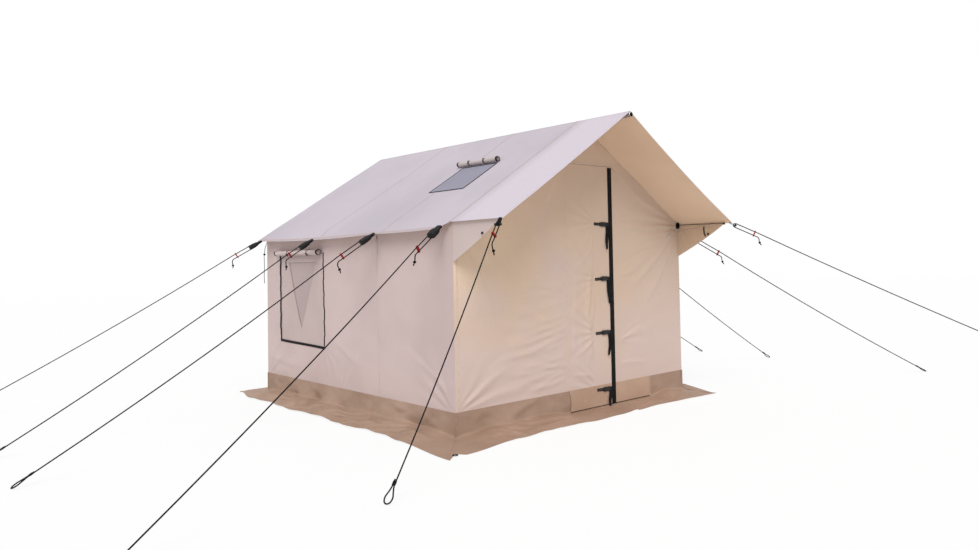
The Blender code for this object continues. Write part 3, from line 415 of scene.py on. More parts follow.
@dataclass(frozen=True)
class CoatedCloth:
    """The sod cloth: tan vinyl on a fabric base, with random spots of painted sheen for its shine where it bends.
    """

    name: str
    light: Colour
    shade: Colour
    slot: str = "sod_cloth"

    def material(self) -> bpy.types.Material:
        """Build the coated cloth's material."""
        s = Shader(self.name)
        x, y, z = s.place()
        where = s.vector(x, y, z)
        clouds = s.noise(where, 2.4, 4.0, 0.6)
        colour = s.blend(clouds.between(0.3, 0.72), self.light, self.shade)
        # painted sheen: random spots coloured lighter than the vinyl
        painted_sheen_spots = s.noise(where, 19.0, 4.0, 0.65)
        colour = s.blend(painted_sheen_spots.between(0.56, 0.74) * 0.5, colour, tinted(self.light, 1.16))
        grid = ((x + y) * 3600.0).sine() * (z * 3600.0).sine()
        weave = s.bump(grid, 0.2, 0.0003)
        creases = s.noise(where, 11.0, 5.0, 0.62)
        normal = s.bump(creases, 0.5, 0.004, weave)
        return s.dress(
            Base_Color=colour,
            Roughness=clouds * 0.14 + 0.52,
            Normal=normal,
            Specular_IOR_Level=0.35,
        )


@dataclass(frozen=True)
class Mesh:
    """Fine net that shows what lies behind it."""

    name: str
    colour: Colour
    cover: float
    slot: str = "window_mesh"
    pitch: float = 0.0016

    def material(self) -> bpy.types.Material:
        """Build the net's material from its flat coordinates."""
        s = Shader(self.name)
        u, v = s.flat()
        across, along = (((place / self.pitch).fraction() - 0.5).size() for place in (u, v))
        strands = across.at_least(along)
        dark = tinted(self.colour, 0.85)
        colour = s.blend(strands.between(0.2, 0.45), dark, self.colour)
        tone = s.noise(s.vector(u, v), 5.0, 3.0)
        colour = s.blend(tone.between(0.35, 0.7) * 0.4, colour, dark)
        folds = s.noise(s.vector(u * 1.6, v), 6.0, 4.0, 0.6)
        normal = s.bump(strands, 0.4, 0.0004, s.bump(folds, 0.5, 0.004))
        return s.dress(Base_Color=colour, Roughness=0.8, Normal=normal, Alpha=self.cover)


@dataclass(frozen=True)
class Webbing:
    """Woven black tape: ribs across it and a tight edge."""

    name: str
    colour: Colour = (0.0045, 0.0042, 0.0045)
    slot: str = "black_webbing"
    rib: float = 0.0018
    stripe: float = 0.0

    def material(self) -> bpy.types.Material:
        """Build the tape's material."""
        s = Shader(self.name)
        x, y, z = s.place()
        ribs = ((x + y + z) * (6.283 / self.rib)).sine()
        twill = ((x - y + z * 0.5) * (6.283 / self.rib)).sine()
        wear = s.noise(s.vector(x, y, z), 45.0, 3.0)
        colour = s.blend(wear.between(0.45, 0.8) * 0.6, self.colour, tinted(self.colour, 3.2, 0.004))
        if self.stripe:
            across = s.flat()[1]
            colour = s.blend((across.size() < self.stripe) * 0.7, colour, (0.10, 0.09, 0.085))
        normal = s.bump(ribs + twill * 0.6, 0.5, 0.0004)
        return s.dress(Base_Color=colour, Roughness=0.8, Normal=normal, Specular_IOR_Level=0.16)


@dataclass(frozen=True)
class Braid:
    """Braided cord with a fine spiral of strands."""

    name: str
    colour: Colour
    fleck: Colour
    slot: str = "black_rope"

    def material(self) -> bpy.types.Material:
        """Build the cord's material."""
        s = Shader(self.name)
        x, y, z = s.place()
        left = ((x * 0.8 + y * 0.4 + z) * 2100.0).sine()
        right = ((x * 0.5 - y * 0.7 + z * 0.7) * 2100.0).sine()
        strands = left.at_least(right)
        fluff = s.noise(s.vector(x, y, z), 160.0, 2.0)
        colour = s.blend(fluff.between(0.5, 0.8) * 0.5, self.colour, self.fleck)
        normal = s.bump(strands, 0.6, 0.0006)
        return s.dress(Base_Color=colour, Roughness=0.84, Normal=normal, Specular_IOR_Level=0.2)


@dataclass(frozen=True)
class Moulded:
    """Moulded plastic with a light grain."""

    name: str
    colour: Colour = (0.006, 0.006, 0.0065)
    slot: str = "black_plastic"
    roughness: float = 0.42

    def material(self) -> bpy.types.Material:
        """Build the plastic's material."""
        s = Shader(self.name)
        where = s.vector(*s.place())
        grain = s.noise(where, 900.0, 2.0)
        wear = s.noise(where, 60.0, 3.0)
        colour = s.blend(wear.between(0.5, 0.8) * 0.5, self.colour, tinted(self.colour, 2.4, 0.004))
        normal = s.bump(grain, 0.25, 0.0002)
        roughness = wear * 0.2 + (self.roughness - 0.1)
        return s.dress(Base_Color=colour, Roughness=roughness, Normal=normal, Specular_IOR_Level=0.3)


@dataclass(frozen=True)
class Metal:
    """Drawn or anodised metal with fine scratches."""

    name: str
    colour: Colour
    slot: str = "pole_steel"
    roughness: float = 0.32
    spangle: float = 40.0

    def material(self) -> bpy.types.Material:
        """Build the metal's material."""
        s = Shader(self.name)
        x, y, z = s.place()
        spangle = s.noise(s.vector(x, y, z), self.spangle, 3.0, 0.6)
        colour = s.blend(spangle.between(0.35, 0.7), self.colour, tinted(self.colour, 0.72))
        scratches = s.noise(s.vector(x * 90.0, y * 8.0, z * 90.0), 6.0, 2.0)
        normal = s.bump(scratches, 0.08, 0.0003)
        roughness = spangle * 0.2 + (self.roughness - 0.08)
        return s.dress(Base_Color=colour, Roughness=roughness, Metallic=1.0, Normal=normal)


class Finish(Enum):
    """Every finish on the tent."""

    ROOF = Canvas(
        "roof_canvas_cloth",
        (0.509, 0.458, 0.51),
        (0.453, 0.407, 0.453),
        "roof_canvas",
        0.8,
        # painted light on the awning
        painted_awning_light=(0.592, 0.534, 0.597),
    )
    # painted light: the lining's own warm colour made brighter to stand for daylight through the awning canvas
    LINING = Canvas("awning_lining_painted_light", (0.79, 0.60, 0.44), (0.73, 0.54, 0.385), "roof_canvas", 0.8)
    SIDE = Canvas("side_wall_cloth", (0.57, 0.455, 0.435), (0.51, 0.40, 0.385))
    FRONT = Canvas(
        "front_wall_cloth",
        (0.655, 0.50, 0.385),
        (0.60, 0.445, 0.33),
        cloud_scale=0.9,
        low=(0.575, 0.455, 0.415),
        # painted shade under the awning
        painted_shade=(0.535, 0.41, 0.325),
        # painted light on the upper left
        painted_light=(0.745, 0.575, 0.415),
    )
    INNER = Canvas("inner_cloth", (0.515, 0.412, 0.395), (0.47, 0.37, 0.353))
    GUSSET = Canvas("gusset_cloth", (0.60, 0.50, 0.475), (0.545, 0.445, 0.42))
    GUSSET_LINING = Canvas("gusset_lining", (0.63, 0.48, 0.35), (0.57, 0.42, 0.30))
    FLAP = Canvas("flap_cloth", (0.55, 0.485, 0.47), (0.47, 0.41, 0.395))
    WALL_FLAP = Canvas("window_flap_cloth", (0.58, 0.475, 0.455), (0.52, 0.415, 0.40))
    ROOF_SEAM = SeamTape("roof_seam", (0.50, 0.42, 0.43), (0.33, 0.21, 0.15), "roof_canvas")
    ROOF_HEM = SeamTape("roof_hem", (0.60, 0.54, 0.60), (0.52, 0.46, 0.50), "roof_canvas", row=0.009)
    SIDE_SEAM = SeamTape("side_seam", (0.562, 0.447, 0.427), (0.50, 0.393, 0.372))
    FRONT_SEAM = SeamTape("front_seam", (0.63, 0.485, 0.385), (0.54, 0.41, 0.325))
    SOD = CoatedCloth("sod_vinyl", (0.366, 0.246, 0.183), (0.294, 0.190, 0.134))
    # painted light: a lighter copy of the sod vinyl for the door's upright band
    DOOR_BAND = CoatedCloth("door_band_vinyl_painted_light", (0.488, 0.335, 0.246), (0.41, 0.273, 0.194))
    NET = Mesh("window_net", (0.52, 0.415, 0.40), 0.84)
    STOVE = Mesh("stove_cloth", (0.27, 0.26, 0.33), 1.0, "stove_patch", 0.0022)
    WEBBING = Webbing("black_tape")
    STRIPED = Webbing("striped_tape", stripe=0.0035)
    ROPE = Braid("black_braid", (0.006, 0.006, 0.007), (0.03, 0.03, 0.032))
    PLASTIC = Moulded("buckle_plastic")
    RUBBER = Moulded("strap_rubber", (0.0035, 0.0036, 0.004), "black_webbing", 0.62)
    RED = Metal("red_alloy_finish", (0.36, 0.02, 0.028), "red_alloy", 0.36, 200.0)
    STEEL = Metal("galvanised_tube", (0.56, 0.57, 0.59))

    def material(self) -> bpy.types.Material:
        """The finish's material, built at its first use."""
        return bpy.data.materials.get(self.value.name) or self.value.material()

    def dress(self, thing: bpy.types.Object) -> bpy.types.Object:
        """Give a piece this finish.

        Args:
            thing: the piece or CAD node.

        Returns:
            The same piece.
        """
        thing.data.materials.clear()
        thing.data.materials.append(self.material())
        return thing


# Sizes that the scene shares with the part's source


@dataclass(frozen=True)
class TentSizes:
    """The tent's own sizes, in metres."""

    half_width: float = 1.22
    length: float = 3.05
    eave: float = 1.49
    ridge: float = 2.295
    front: float = -1.3605
    canvas: float = 0.003
    awning: float = 0.55
    corner_lead: float = 0.025
    side_hem: float = 0.02
    eave_hem: float = 0.09
    hem_run_out: float = 0.07
    sag: float = 0.012
    droops: tuple[Point2, ...] = ((0.07, 0.0), (0.90, 0.008), (1.945, 0.024), (2.99, 0.005), (3.05, 0.004))

    @property
    def back(self) -> float:
        """The back wall's outer face."""
        return self.front + self.length

    @property
    def slope(self) -> float:
        """Drop of the roof for each metre outwards."""
        return (self.ridge - self.eave) / self.half_width

    @property
    def angle(self) -> float:
        """The roof's slope as an angle."""
        return math.atan(self.slope)

    @property
    def drop(self) -> float:
        """The roof cloth's height from face to face."""
        return self.canvas / math.cos(self.angle)

    def under(self, x: float) -> float:
        """Height of the roof's underside on its poles."""
        return self.ridge - self.slope * abs(x) - self.drop

    def droop(self, distance: Any) -> Any:
        """How far the eave's hem hangs below the roof's slope.

        Args:
            distance: one or more places behind the front wall.

        Returns:
            The drop at each.
        """
        places, drops = zip(*self.droops)
        return np.interp(distance, places, drops)

    def hem(self, y: float) -> float:
        """How far the roof stands out past the wall at that distance.

        Args:
            y: distance along the tent.

        Returns:
            The overhang in metres.
        """
        if y <= self.front:
            return self.side_hem
        run = min(1.0, (y - self.front) / self.hem_run_out)
        return self.side_hem + (self.eave_hem - self.side_hem) * run


TENT = TentSizes()


# Mesh helpers


def steps(low: float, high: float, step: float, marks: Iterable[float] = ()) -> np.ndarray:
    """Places from low to high, about a step apart, with every mark among them.

    Args:
        low: the first place.
        high: the last place.
        step: the spacing.
        marks: places that must be met.

    Returns:
        The places in order.
    """
    stops = sorted({low, high, *[mark for mark in marks if low < mark < high]})
    places = [stops[0]]
    for start, end in zip(stops, stops[1:]):
        count = max(1, round((end - start) / step))
        places += [start + (end - start) * index / count for index in range(1, count + 1)]
    return np.array(places)


def grid(*parts: np.ndarray) -> np.ndarray:
    """Coordinates given one by one, joined at each point."""
    return np.stack(parts, axis=-1)


def columns(us: np.ndarray, low: Any, high: Any, count: int) -> tuple[np.ndarray, np.ndarray]:
    """Places on upright columns of a cloth.

    Args:
        us: where the columns stand.
        low: where they start, for all or each.
        high: where they end, for all or each.
        count: how many places each has.

    Returns:
        The places along the cloth and their heights.
    """
    v = low + np.linspace(0.0, 1.0, count)[:, None] * (high - low)
    return np.repeat(us[None, :], count, axis=0), v


def add_piece(name: str, mesh: bpy.types.Mesh, finish: Finish, body: str = ROOT) -> bpy.types.Object:
    """Link a mesh as a dressed piece that rides on a body.

    Args:
        name: the piece's name.
        mesh: its mesh.
        finish: its finish.
        body: the body that it moves with.

    Returns:
        The new piece.
    """
    thing = bpy.data.objects.new(name, mesh)
    bpy.context.scene.collection.objects.link(thing)
    finish.dress(thing)
    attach(thing, body)
    return thing


def sheet_mesh(
    name: str, points: Any, flat: Any, keep: np.ndarray | None = None, flip: bool = False
) -> bpy.types.Mesh:
    """A single face of cloth from a grid of points.

    Args:
        name: the mesh's name.
        points: rows by columns by three coordinates.
        flat: rows by columns by two, the same points on the cut cloth.
        keep: which cells are cloth, or None for all.
        flip: True to turn the faces over.

    Returns:
        The mesh, smooth, with its flat coordinates.
    """
    points = np.asarray(points)
    height, width = points.shape[:2]
    vertices = points.reshape(-1, 3)
    faces = []
    for i in range(height - 1):
        for j in range(width - 1):
            if keep is not None and not keep[i, j]:
                continue
            a = i * width + j
            face = [a, a + 1, a + width + 1, a + width]
            faces.append(face[::-1] if flip else face)
    used = np.unique(np.array(faces))
    index = {int(old): new for new, old in enumerate(used)}
    mesh = bpy.data.meshes.new(name)
    mesh.from_pydata(vertices[used].tolist(), [], [[index[v] for v in face] for face in faces])
    layer = mesh.uv_layers.new(name="flat")
    coordinates = np.asarray(flat).reshape(-1, 2)[used]
    for loop in mesh.loops:
        layer.data[loop.index].uv = coordinates[loop.vertex_index]
    mesh.shade_smooth()
    shape = bmesh.new()
    shape.from_mesh(mesh)
    for edge in shape.edges:
        edge.smooth = not edge.is_boundary
    shape.to_mesh(mesh)
    shape.free()
    return mesh


def face_towards(mesh: bpy.types.Mesh, direction: Vector) -> None:
    """Turn a mesh over where its first face looks away from a direction."""
    if mesh.polygons[0].normal.dot(direction) < 0:
        mesh.flip_normals()


def finished(shape: bmesh.types.BMesh, name: str, sharp: float | None = None) -> bpy.types.Mesh:
    """Turn a closed shape into a mesh.

    Args:
        shape: the shape, which is freed.
        name: the mesh's name.
        sharp: the angle in degrees from which edges stay sharp, or None for flat faces.

    Returns:
        The mesh with its faces outwards.
    """
    bmesh.ops.recalc_face_normals(shape, faces=shape.faces)
    mesh = bpy.data.meshes.new(name)
    shape.to_mesh(mesh)
    shape.free()
    if sharp is not None:
        mesh.shade_smooth()
        mesh.set_sharp_from_angle(angle=math.radians(sharp))
    return mesh


def skinned(rings: Sequence[Sequence[Vector]], closed: bool) -> tuple[bmesh.types.BMesh, list]:
    """A new shape with a skin through rings of as many points, and the rings' vertices."""
    shape = bmesh.new()
    loops = [[shape.verts.new(point) for point in ring] for ring in rings]
    pairs = list(zip(loops, loops[1:])) + ([(loops[-1], loops[0])] if closed else [])
    for ring, following in pairs:
        for index, vert in enumerate(ring):
            after = (index + 1) % len(ring)
            shape.faces.new((vert, ring[after], following[after], following[index]))
    return shape, loops


def thicken(thing: bpy.types.Object, thickness: float, offset: float = -1.0) -> bpy.types.Object:
    """Give a cloth its thickness.

    Args:
        thing: the piece with one face.
        thickness: in metres.
        offset: minus one to grow behind the face, one before it.

    Returns:
        The same piece.
    """
    solid = thing.modifiers.new("thickness", "SOLIDIFY")
    solid.thickness = thickness
    solid.offset = offset
    return thing


def prism(
    name: str,
    outline: Sequence[Point2],
    depth: float,
    place: Matrix,
    holes: Sequence[Sequence[Point2]] = (),
) -> bpy.types.Mesh:
    """An outline thickened along its own Z.

    Args:
        name: the mesh's name.
        outline: the flat points, in order.
        depth: the thickness.
        place: where its origin and axes lie.
        holes: outlines that are left open.

    Returns:
        The closed mesh.
    """
    loops = [list(outline), *[list(hole) for hole in holes]]
    shape = bmesh.new()
    low = [[shape.verts.new(place @ Vector((a, b, 0.0))) for a, b in loop] for loop in loops]
    high = [[shape.verts.new(place @ Vector((a, b, depth))) for a, b in loop] for loop in loops]
    below = [vert for loop in low for vert in loop]
    above = [vert for loop in high for vert in loop]
    for triangle in tessellate_polygon([[Vector((a, b, 0.0)) for a, b in loop] for loop in loops]):
        shape.faces.new([below[index] for index in triangle])
        shape.faces.new([above[index] for index in reversed(triangle)])
    for bottom, top in zip(low, high):
        for index, vert in enumerate(bottom):
            after = (index + 1) % len(bottom)
            shape.faces.new((vert, bottom[after], top[after], top[index]))
    return finished(shape, name)


def loft(name: str, rings: Sequence[Sequence[Vector]], closed: bool = False) -> bpy.types.Mesh:
    """A smooth skin through rings of as many points.

    Args:
        name: the mesh's name.
        rings: the loops, in order.
        closed: True where the last ring meets the first, which leaves no caps.

    Returns:
        The closed mesh.
    """
    shape, loops = skinned(rings, closed)
    if not closed:
        shape.faces.new(loops[0])
        shape.faces.new(loops[-1])
    return finished(shape, name, 50)


def tube(
    name: str, path: Sequence[Vector], radius: float, sides: int = 10, closed: bool = False
) -> bpy.types.Mesh:
    """A round skin along a path.

    Args:
        name: the mesh's name.
        path: its centre line.
        radius: its radius.
        sides: how many faces go round.
        closed: True where the path is a ring.

    Returns:
        The closed mesh.
    """
    count = len(path)
    tangents = []
    for index in range(count):
        if closed:
            step = path[(index + 1) % count] - path[index - 1]
        else:
            step = path[min(index + 1, count - 1)] - path[max(index - 1, 0)]
        tangents.append(step.normalized())
    side = tangents[0].orthogonal().normalized()
    rings = []
    for point, tangent in zip(path, tangents):
        side = (side - tangent * side.dot(tangent)).normalized()
        other = tangent.cross(side)
        rings.append([point + (side * math.cos(t) + other * math.sin(t)) * radius for t in turns(sides)])
    return loft(name, rings, closed)


def frame_at(origin: Vector, first: Vector, second: Vector) -> Matrix:
    """Axes with their origin, first and second directions, and the cross of the two."""
    third = first.cross(second)
    return Matrix.Translation(origin) @ Matrix((first, second, third)).transposed().to_4x4()


def soften(thing: bpy.types.Object, width: float, segments: int = 2) -> bpy.types.Object:
    """Round a hard piece's edges.

    Args:
        thing: the piece.
        width: the bevel's width.
        segments: its steps.

    Returns:
        The same piece.
    """
    bevel = thing.modifiers.new("edges", "BEVEL")
    bevel.width = width
    bevel.segments = segments
    bevel.limit_method = "ANGLE"
    bevel.angle_limit = math.radians(40)
    return thing


# Folds in the cloth


def wander(u: np.ndarray, v: np.ndarray, scale: float, seed: float) -> np.ndarray:
    """Smooth noise over a cloth, about nought.

    Args:
        u: places along it.
        v: places up it.
        scale: waves to a metre.
        seed: picks one pattern.

    Returns:
        A value from about minus one to one at each place.
    """
    flat = [
        noise.noise(Vector((a * scale, b * scale, seed)), noise_basis=PERLIN)
        for a, b in zip(u.ravel(), v.ravel())
    ]
    return np.array(flat).reshape(u.shape)


@dataclass(frozen=True)
class Fan:
    """Tight folds that spread from a point where the cloth is pulled."""

    at: Point2
    towards: float
    spread: float
    folds: float
    depth: float
    reach: float
    seed: float = 0.0

    def depth_at(self, u: np.ndarray, v: np.ndarray) -> np.ndarray:
        """How far the folds push the cloth.

        Args:
            u: places along it.
            v: places up it.

        Returns:
            The push in metres.
        """
        du, dv = u - self.at[0], v - self.at[1]
        away = np.hypot(du, dv)
        turn = np.arctan2(dv, du) - math.radians(self.towards)
        turn = (turn + math.pi) % (2 * math.pi) - math.pi
        window = np.exp(-((turn / math.radians(self.spread)) ** 2))
        fade = np.exp(-away / self.reach) * (1 - np.exp(-away / 0.03))
        wobble = wander(u, v, 3.5, self.seed + 3.7) * 1.6
        wave = np.cos(turn * self.folds + wobble + self.seed)
        ridge = np.sign(wave) * np.abs(wave) ** 0.7
        return self.depth * window * fade * ridge


@dataclass(frozen=True)
class Crease:
    """One long fold between two places, sharp on one side and soft on the other."""

    start: Point2
    end: Point2
    depth: float
    width: float = 0.02
    bend: float = 0.03

    def depth_at(self, u: np.ndarray, v: np.ndarray) -> np.ndarray:
        """How far the fold pushes the cloth.

        Args:
            u: places along it.
            v: places up it.

        Returns:
            The push in metres.
        """
        du, dv = self.end[0] - self.start[0], self.end[1] - self.start[1]
        length = math.hypot(du, dv)
        du, dv = du / length, dv / length
        run = ((u - self.start[0]) * du + (v - self.start[1]) * dv) / length
        away = (v - self.start[1]) * du - (u - self.start[0]) * dv
        inside = np.clip(run, 0.0, 1.0)
        away = away - self.bend * np.sin(math.pi * inside)
        away = away + 0.008 * wander(u, v, 4.0, self.start[0] + self.start[1])
        share = away / (self.width * (0.5 + inside))
        profile = np.where(share > 0, np.exp(-(share**2) * 2.2), np.exp(-(share**2) * 0.35))
        fade = np.clip(run / 0.12, 0, 1) * np.clip((1 - run) / 0.35, 0, 1)
        return self.depth * profile * eased(fade)


@dataclass(frozen=True)
class Drape:
    """What gives a hung cloth its relief: slow billows, small crumples, fans of folds and creases."""

    billow: float = 0.004
    billow_scale: float = 1.6
    crumple: float = 0.0011
    crumple_scale: float = 9.0
    fans: tuple[Fan | Crease, ...] = ()
    seed: float = 1.0

    def relief(self, u: np.ndarray, v: np.ndarray) -> np.ndarray:
        """How far each place of the cloth stands out.

        Args:
            u: places along it.
            v: places up it.

        Returns:
            The push in metres.
        """
        push = self.billow * wander(u, v, self.billow_scale, self.seed)
        push = push + 0.5 * self.billow * wander(u, v, self.billow_scale * 2.3, self.seed + 9.1)
        push = push + self.crumple * wander(u, v, self.crumple_scale, self.seed + 4.2)
        for fan in self.fans:
            push = push + fan.depth_at(u, v)
        return push


def edge_fade(places: np.ndarray, low: float, high: float, width: float) -> np.ndarray:
    """Nought at both ends of a span and one away from them.

    Args:
        places: where to read it.
        low: one end.
        high: the other end.
        width: how far the fade reaches.

    Returns:
        A share at each place.
    """
    return eased(np.clip(np.minimum(places - low, high - places) / width, 0.0, 1.0))


def area_under(heights: np.ndarray, places: np.ndarray) -> float:
    """Area between a line and nought.

    Args:
        heights: the line's height at each place.
        places: the places.

    Returns:
        The area in square metres.
    """
    return float(np.sum((heights[1:] + heights[:-1]) / 2 * np.diff(places)))


@dataclass
class Ribbon:
    """A narrow band that lies on a cloth, such as a seam, a binding or a strap."""

    name: str
    width: float
    thickness: float
    finish: Finish
    body: str = ROOT

    def lay(self, path: Sequence[Vector], normals: Sequence[Vector], lift: float) -> bpy.types.Object:
        """Lay the band along a path.

        Args:
            path: points on the surface.
            normals: the surface's direction at each.
            lift: how high the band's top stands over the surface.

        Returns:
            The band.
        """
        shares = (-0.5, -0.45, 0.0, 0.45, 0.5)
        tops = (0.15, 0.9, 1.0, 0.9, 0.15)
        rows, flat = [], []
        run = 0.0
        for index, (point, normal) in enumerate(zip(path, normals)):
            step = path[min(index + 1, len(path) - 1)] - path[max(index - 1, 0)]
            across = step.cross(normal).normalized()
            if index:
                run += (point - path[index - 1]).length
            rows.append([point + across * self.width * a + normal * lift * b for a, b in zip(shares, tops)])
            flat.append([(run, self.width * a) for a in shares])
        mesh = sheet_mesh(self.name, rows, flat)
        face_towards(mesh, normals[0])
        return thicken(add_piece(self.name, mesh, self.finish, self.body), self.thickness)

    def follow(
        self, spots: Sequence[Point2], place: Callable[[float, float, float], Vector], lift: float
    ) -> bpy.types.Object:
        """Lay the band over a wall's folds.

        Args:
            spots: its centre line, in the wall's own two directions.
            place: gives the point of the wall at a spot, with a lift.
            lift: how high the band's top stands over the cloth.

        Returns:
            The band.
        """
        shares = (-0.5, -0.45, -0.2, 0.2, 0.45, 0.5)
        tops = (0.15, 0.9, 1.0, 1.0, 0.9, 0.15)
        rows, flat = [], []
        run = 0.0
        for index, (a, b) in enumerate(spots):
            ahead = spots[min(index + 1, len(spots) - 1)]
            behind = spots[max(index - 1, 0)]
            step = Vector((ahead[0] - behind[0], ahead[1] - behind[1])).normalized() * self.width
            if index:
                run += math.hypot(a - spots[index - 1][0], b - spots[index - 1][1])
            rows.append([place(a - step.y * s, b + step.x * s, lift * top) for s, top in zip(shares, tops)])
            flat.append([(run, self.width * s) for s in shares])
        mesh = sheet_mesh(self.name, rows, flat)
        face_towards(mesh, place(*spots[0], 0.01) - place(*spots[0], 0.0))
        return thicken(add_piece(self.name, mesh, self.finish, self.body), self.thickness)


# Roof


@dataclass
class Roof:
    """The roof with its awning: one sheet over the ridge, its seams and its hems."""

    step: float = 0.028
    thickness: float = 0.0024
    scallop: float = 0.004
    seams: tuple[float, ...] = (0.0, 0.80, 1.80)
    anchors: tuple[float, ...] = (0.055, 0.90, 1.92, 2.97)
    stove: tuple[float, float, float, float] = (0.46, 0.88, 0.50, 0.79)  # near, far, inner, outer

    def top(self, x: np.ndarray, y: np.ndarray) -> np.ndarray:
        """Height of the roof's upper face.

        Args:
            x: places across the tent.
            y: places along the tent.

        Returns:
            The height at each place.
        """
        t = TENT
        out = np.abs(x)
        across = np.clip((out - 0.10) / (t.half_width - 0.15), 0.0, 1.0)
        along = np.clip((y - t.front - 0.06) / (t.length - 0.12), 0.0, 1.0)
        height = t.ridge - t.slope * out
        height = height - t.sag * np.sin(math.pi * across) * np.sin(math.pi * along)
        bays = np.abs(np.sin(math.pi * np.clip(along * 3.0, 0.0, 3.0)))
        inside = edge_fade(out, 0.06, t.half_width - 0.03, 0.25)
        side = np.sign(x)
        soft = 0.0042 * wander(x + side * 5.0, y, 1.5, 2.4)
        soft = soft + 0.0012 * wander(x + side * 5.0, y, 5.5, 7.7)
        height = height + inside * (soft - 0.003 * bays)
        ahead = np.clip((t.front - y) / t.awning, 0.0, 1.0)
        height = height - 0.010 * np.sin(math.pi * np.clip(out / t.half_width, 0, 1)) * ahead
        for anchor in self.anchors:
            away = np.hypot(out - t.half_width - t.eave_hem, y - t.front - anchor)
            turn = np.arctan2(y - t.front - anchor, t.half_width + t.eave_hem - out)
            window = np.exp(-((turn / 0.8) ** 2)) * np.exp(-away / 0.16) * (1 - np.exp(-away / 0.03))
            height = height + 0.0035 * window * np.cos(turn * 9.0 + anchor)
        hem = np.clip((out - t.half_width + 0.01) / 0.09, 0.0, 1.0) * (y > t.front + 0.05)
        bay = np.zeros_like(y)
        for start, end in zip(self.anchors, self.anchors[1:]):
            share = np.clip((y - t.front - start) / (end - start), 0.0, 1.0)
            bay = np.maximum(bay, np.sin(math.pi * share))
        droop = t.droop(y - t.front) * np.clip((out - t.half_width) / t.eave_hem, 0.0, 1.0)
        return height - self.scallop * hem * bay - droop

    def point(self, x: float, y: float) -> Vector:
        """One point of the upper face."""
        height = self.top(np.array([x]), np.array([y]))[0]
        return Vector((x, y, float(height)))

    def normal(self, x: float, y: float) -> Vector:
        """The upper face's direction at a place."""
        near = 0.01
        side = -1.0 if x < 0 else 1.0
        along = self.point(x, y + near) - self.point(x, y - near)
        across = self.point(x + side * near, y) - self.point(x, y)
        found = across.cross(along).normalized()
        return found if found.z > 0 else -found

    def build(self) -> None:
        """Build the roof sheet, the seams over it and the hem bands."""
        t = TENT
        near, far, inner, outer = self.stove
        marks = [t.front + place for place in (0.0, t.hem_run_out, near, far)]
        ys = steps(t.front - t.awning, t.back, self.step, marks)
        xs_side = steps(0.0, t.half_width, self.step, (inner, outer, 0.03))
        level = np.concatenate([-xs_side[::-1], xs_side[1:]])
        hems = np.array([t.hem(y) for y in ys])
        hem_steps = np.linspace(0, 1, 5)[1:]
        rows = []
        for y, hem in zip(ys, hems):
            left = [-(t.half_width + hem * s) for s in hem_steps[::-1]]
            right = [t.half_width + hem * s for s in hem_steps]
            rows.append(np.concatenate([left, level, right]))
        x = np.array(rows)
        y = np.repeat(ys[:, None], x.shape[1], axis=1)
        lead = np.clip((t.front - y) / t.awning, 0.0, 1.0) ** 3
        bow = np.sin(math.pi * np.clip(np.abs(x) / (t.half_width + t.side_hem), 0, 1))
        y = y - lead * (t.corner_lead * np.abs(x) / (t.half_width + t.side_hem) - 0.012 * bow)
        z = self.top(x, y)
        slant = 1 / math.cos(t.angle)
        middle_x = (x[:-1, :-1] + x[1:, 1:]) / 2
        middle_y = (y[:-1, :-1] + y[1:, 1:]) / 2 - t.front
        hole = (middle_x > -outer) & (middle_x < -inner) & (middle_y > near) & (middle_y < far)
        mesh = sheet_mesh("roof_sheet", grid(x, y, z), grid(x * slant, y), ~hole)
        roof = add_piece("roof_sheet", mesh, Finish.ROOF)
        thicken(roof, self.thickness)
        # the underside takes the lining colour, brightened as painted light through the canvas
        roof.data.materials.append(Finish.LINING.material())
        roof.modifiers["thickness"].material_offset = 1
        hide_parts("roof_canvas")
        bands = [self.seam(f"{index}_{part}", y, *span) for index, part, y, span in self.seam_spans()]
        bands += self.hems()
        LOG.info("roof sheet with %d bands", len(bands))

    def seam_spans(self) -> list[tuple[int, int, float, Point2]]:
        """Every seam's number, part, distance behind the front wall and span across the tent."""
        near, far, inner, outer = self.stove
        spans = []
        for index, y in enumerate(self.seams):
            reach = TENT.half_width + TENT.hem(TENT.front + y) - 0.002
            if near < y < far:
                spans += [(index, 0, y, (-reach, -outer - 0.021)), (index, 1, y, (0.021 - inner, reach))]
            else:
                spans.append((index, 0, y, (-reach, reach)))
        return spans

    def seam(self, name: str, y: float, low: float, high: float) -> bpy.types.Object:
        """A felled seam over the roof.

        Args:
            name: its number and part.
            y: its distance behind the front wall.
            low: its left end.
            high: its right end.

        Returns:
            The seam.
        """
        place = TENT.front + y
        xs = steps(low, high, 0.03, (0.0,))
        path = [self.point(x, place) for x in xs]
        normals = [self.normal(x, place) for x in xs]
        return Ribbon(f"roof_seam_{name}", 0.018, 0.001, Finish.ROOF_SEAM).lay(path, normals, 0.0012)

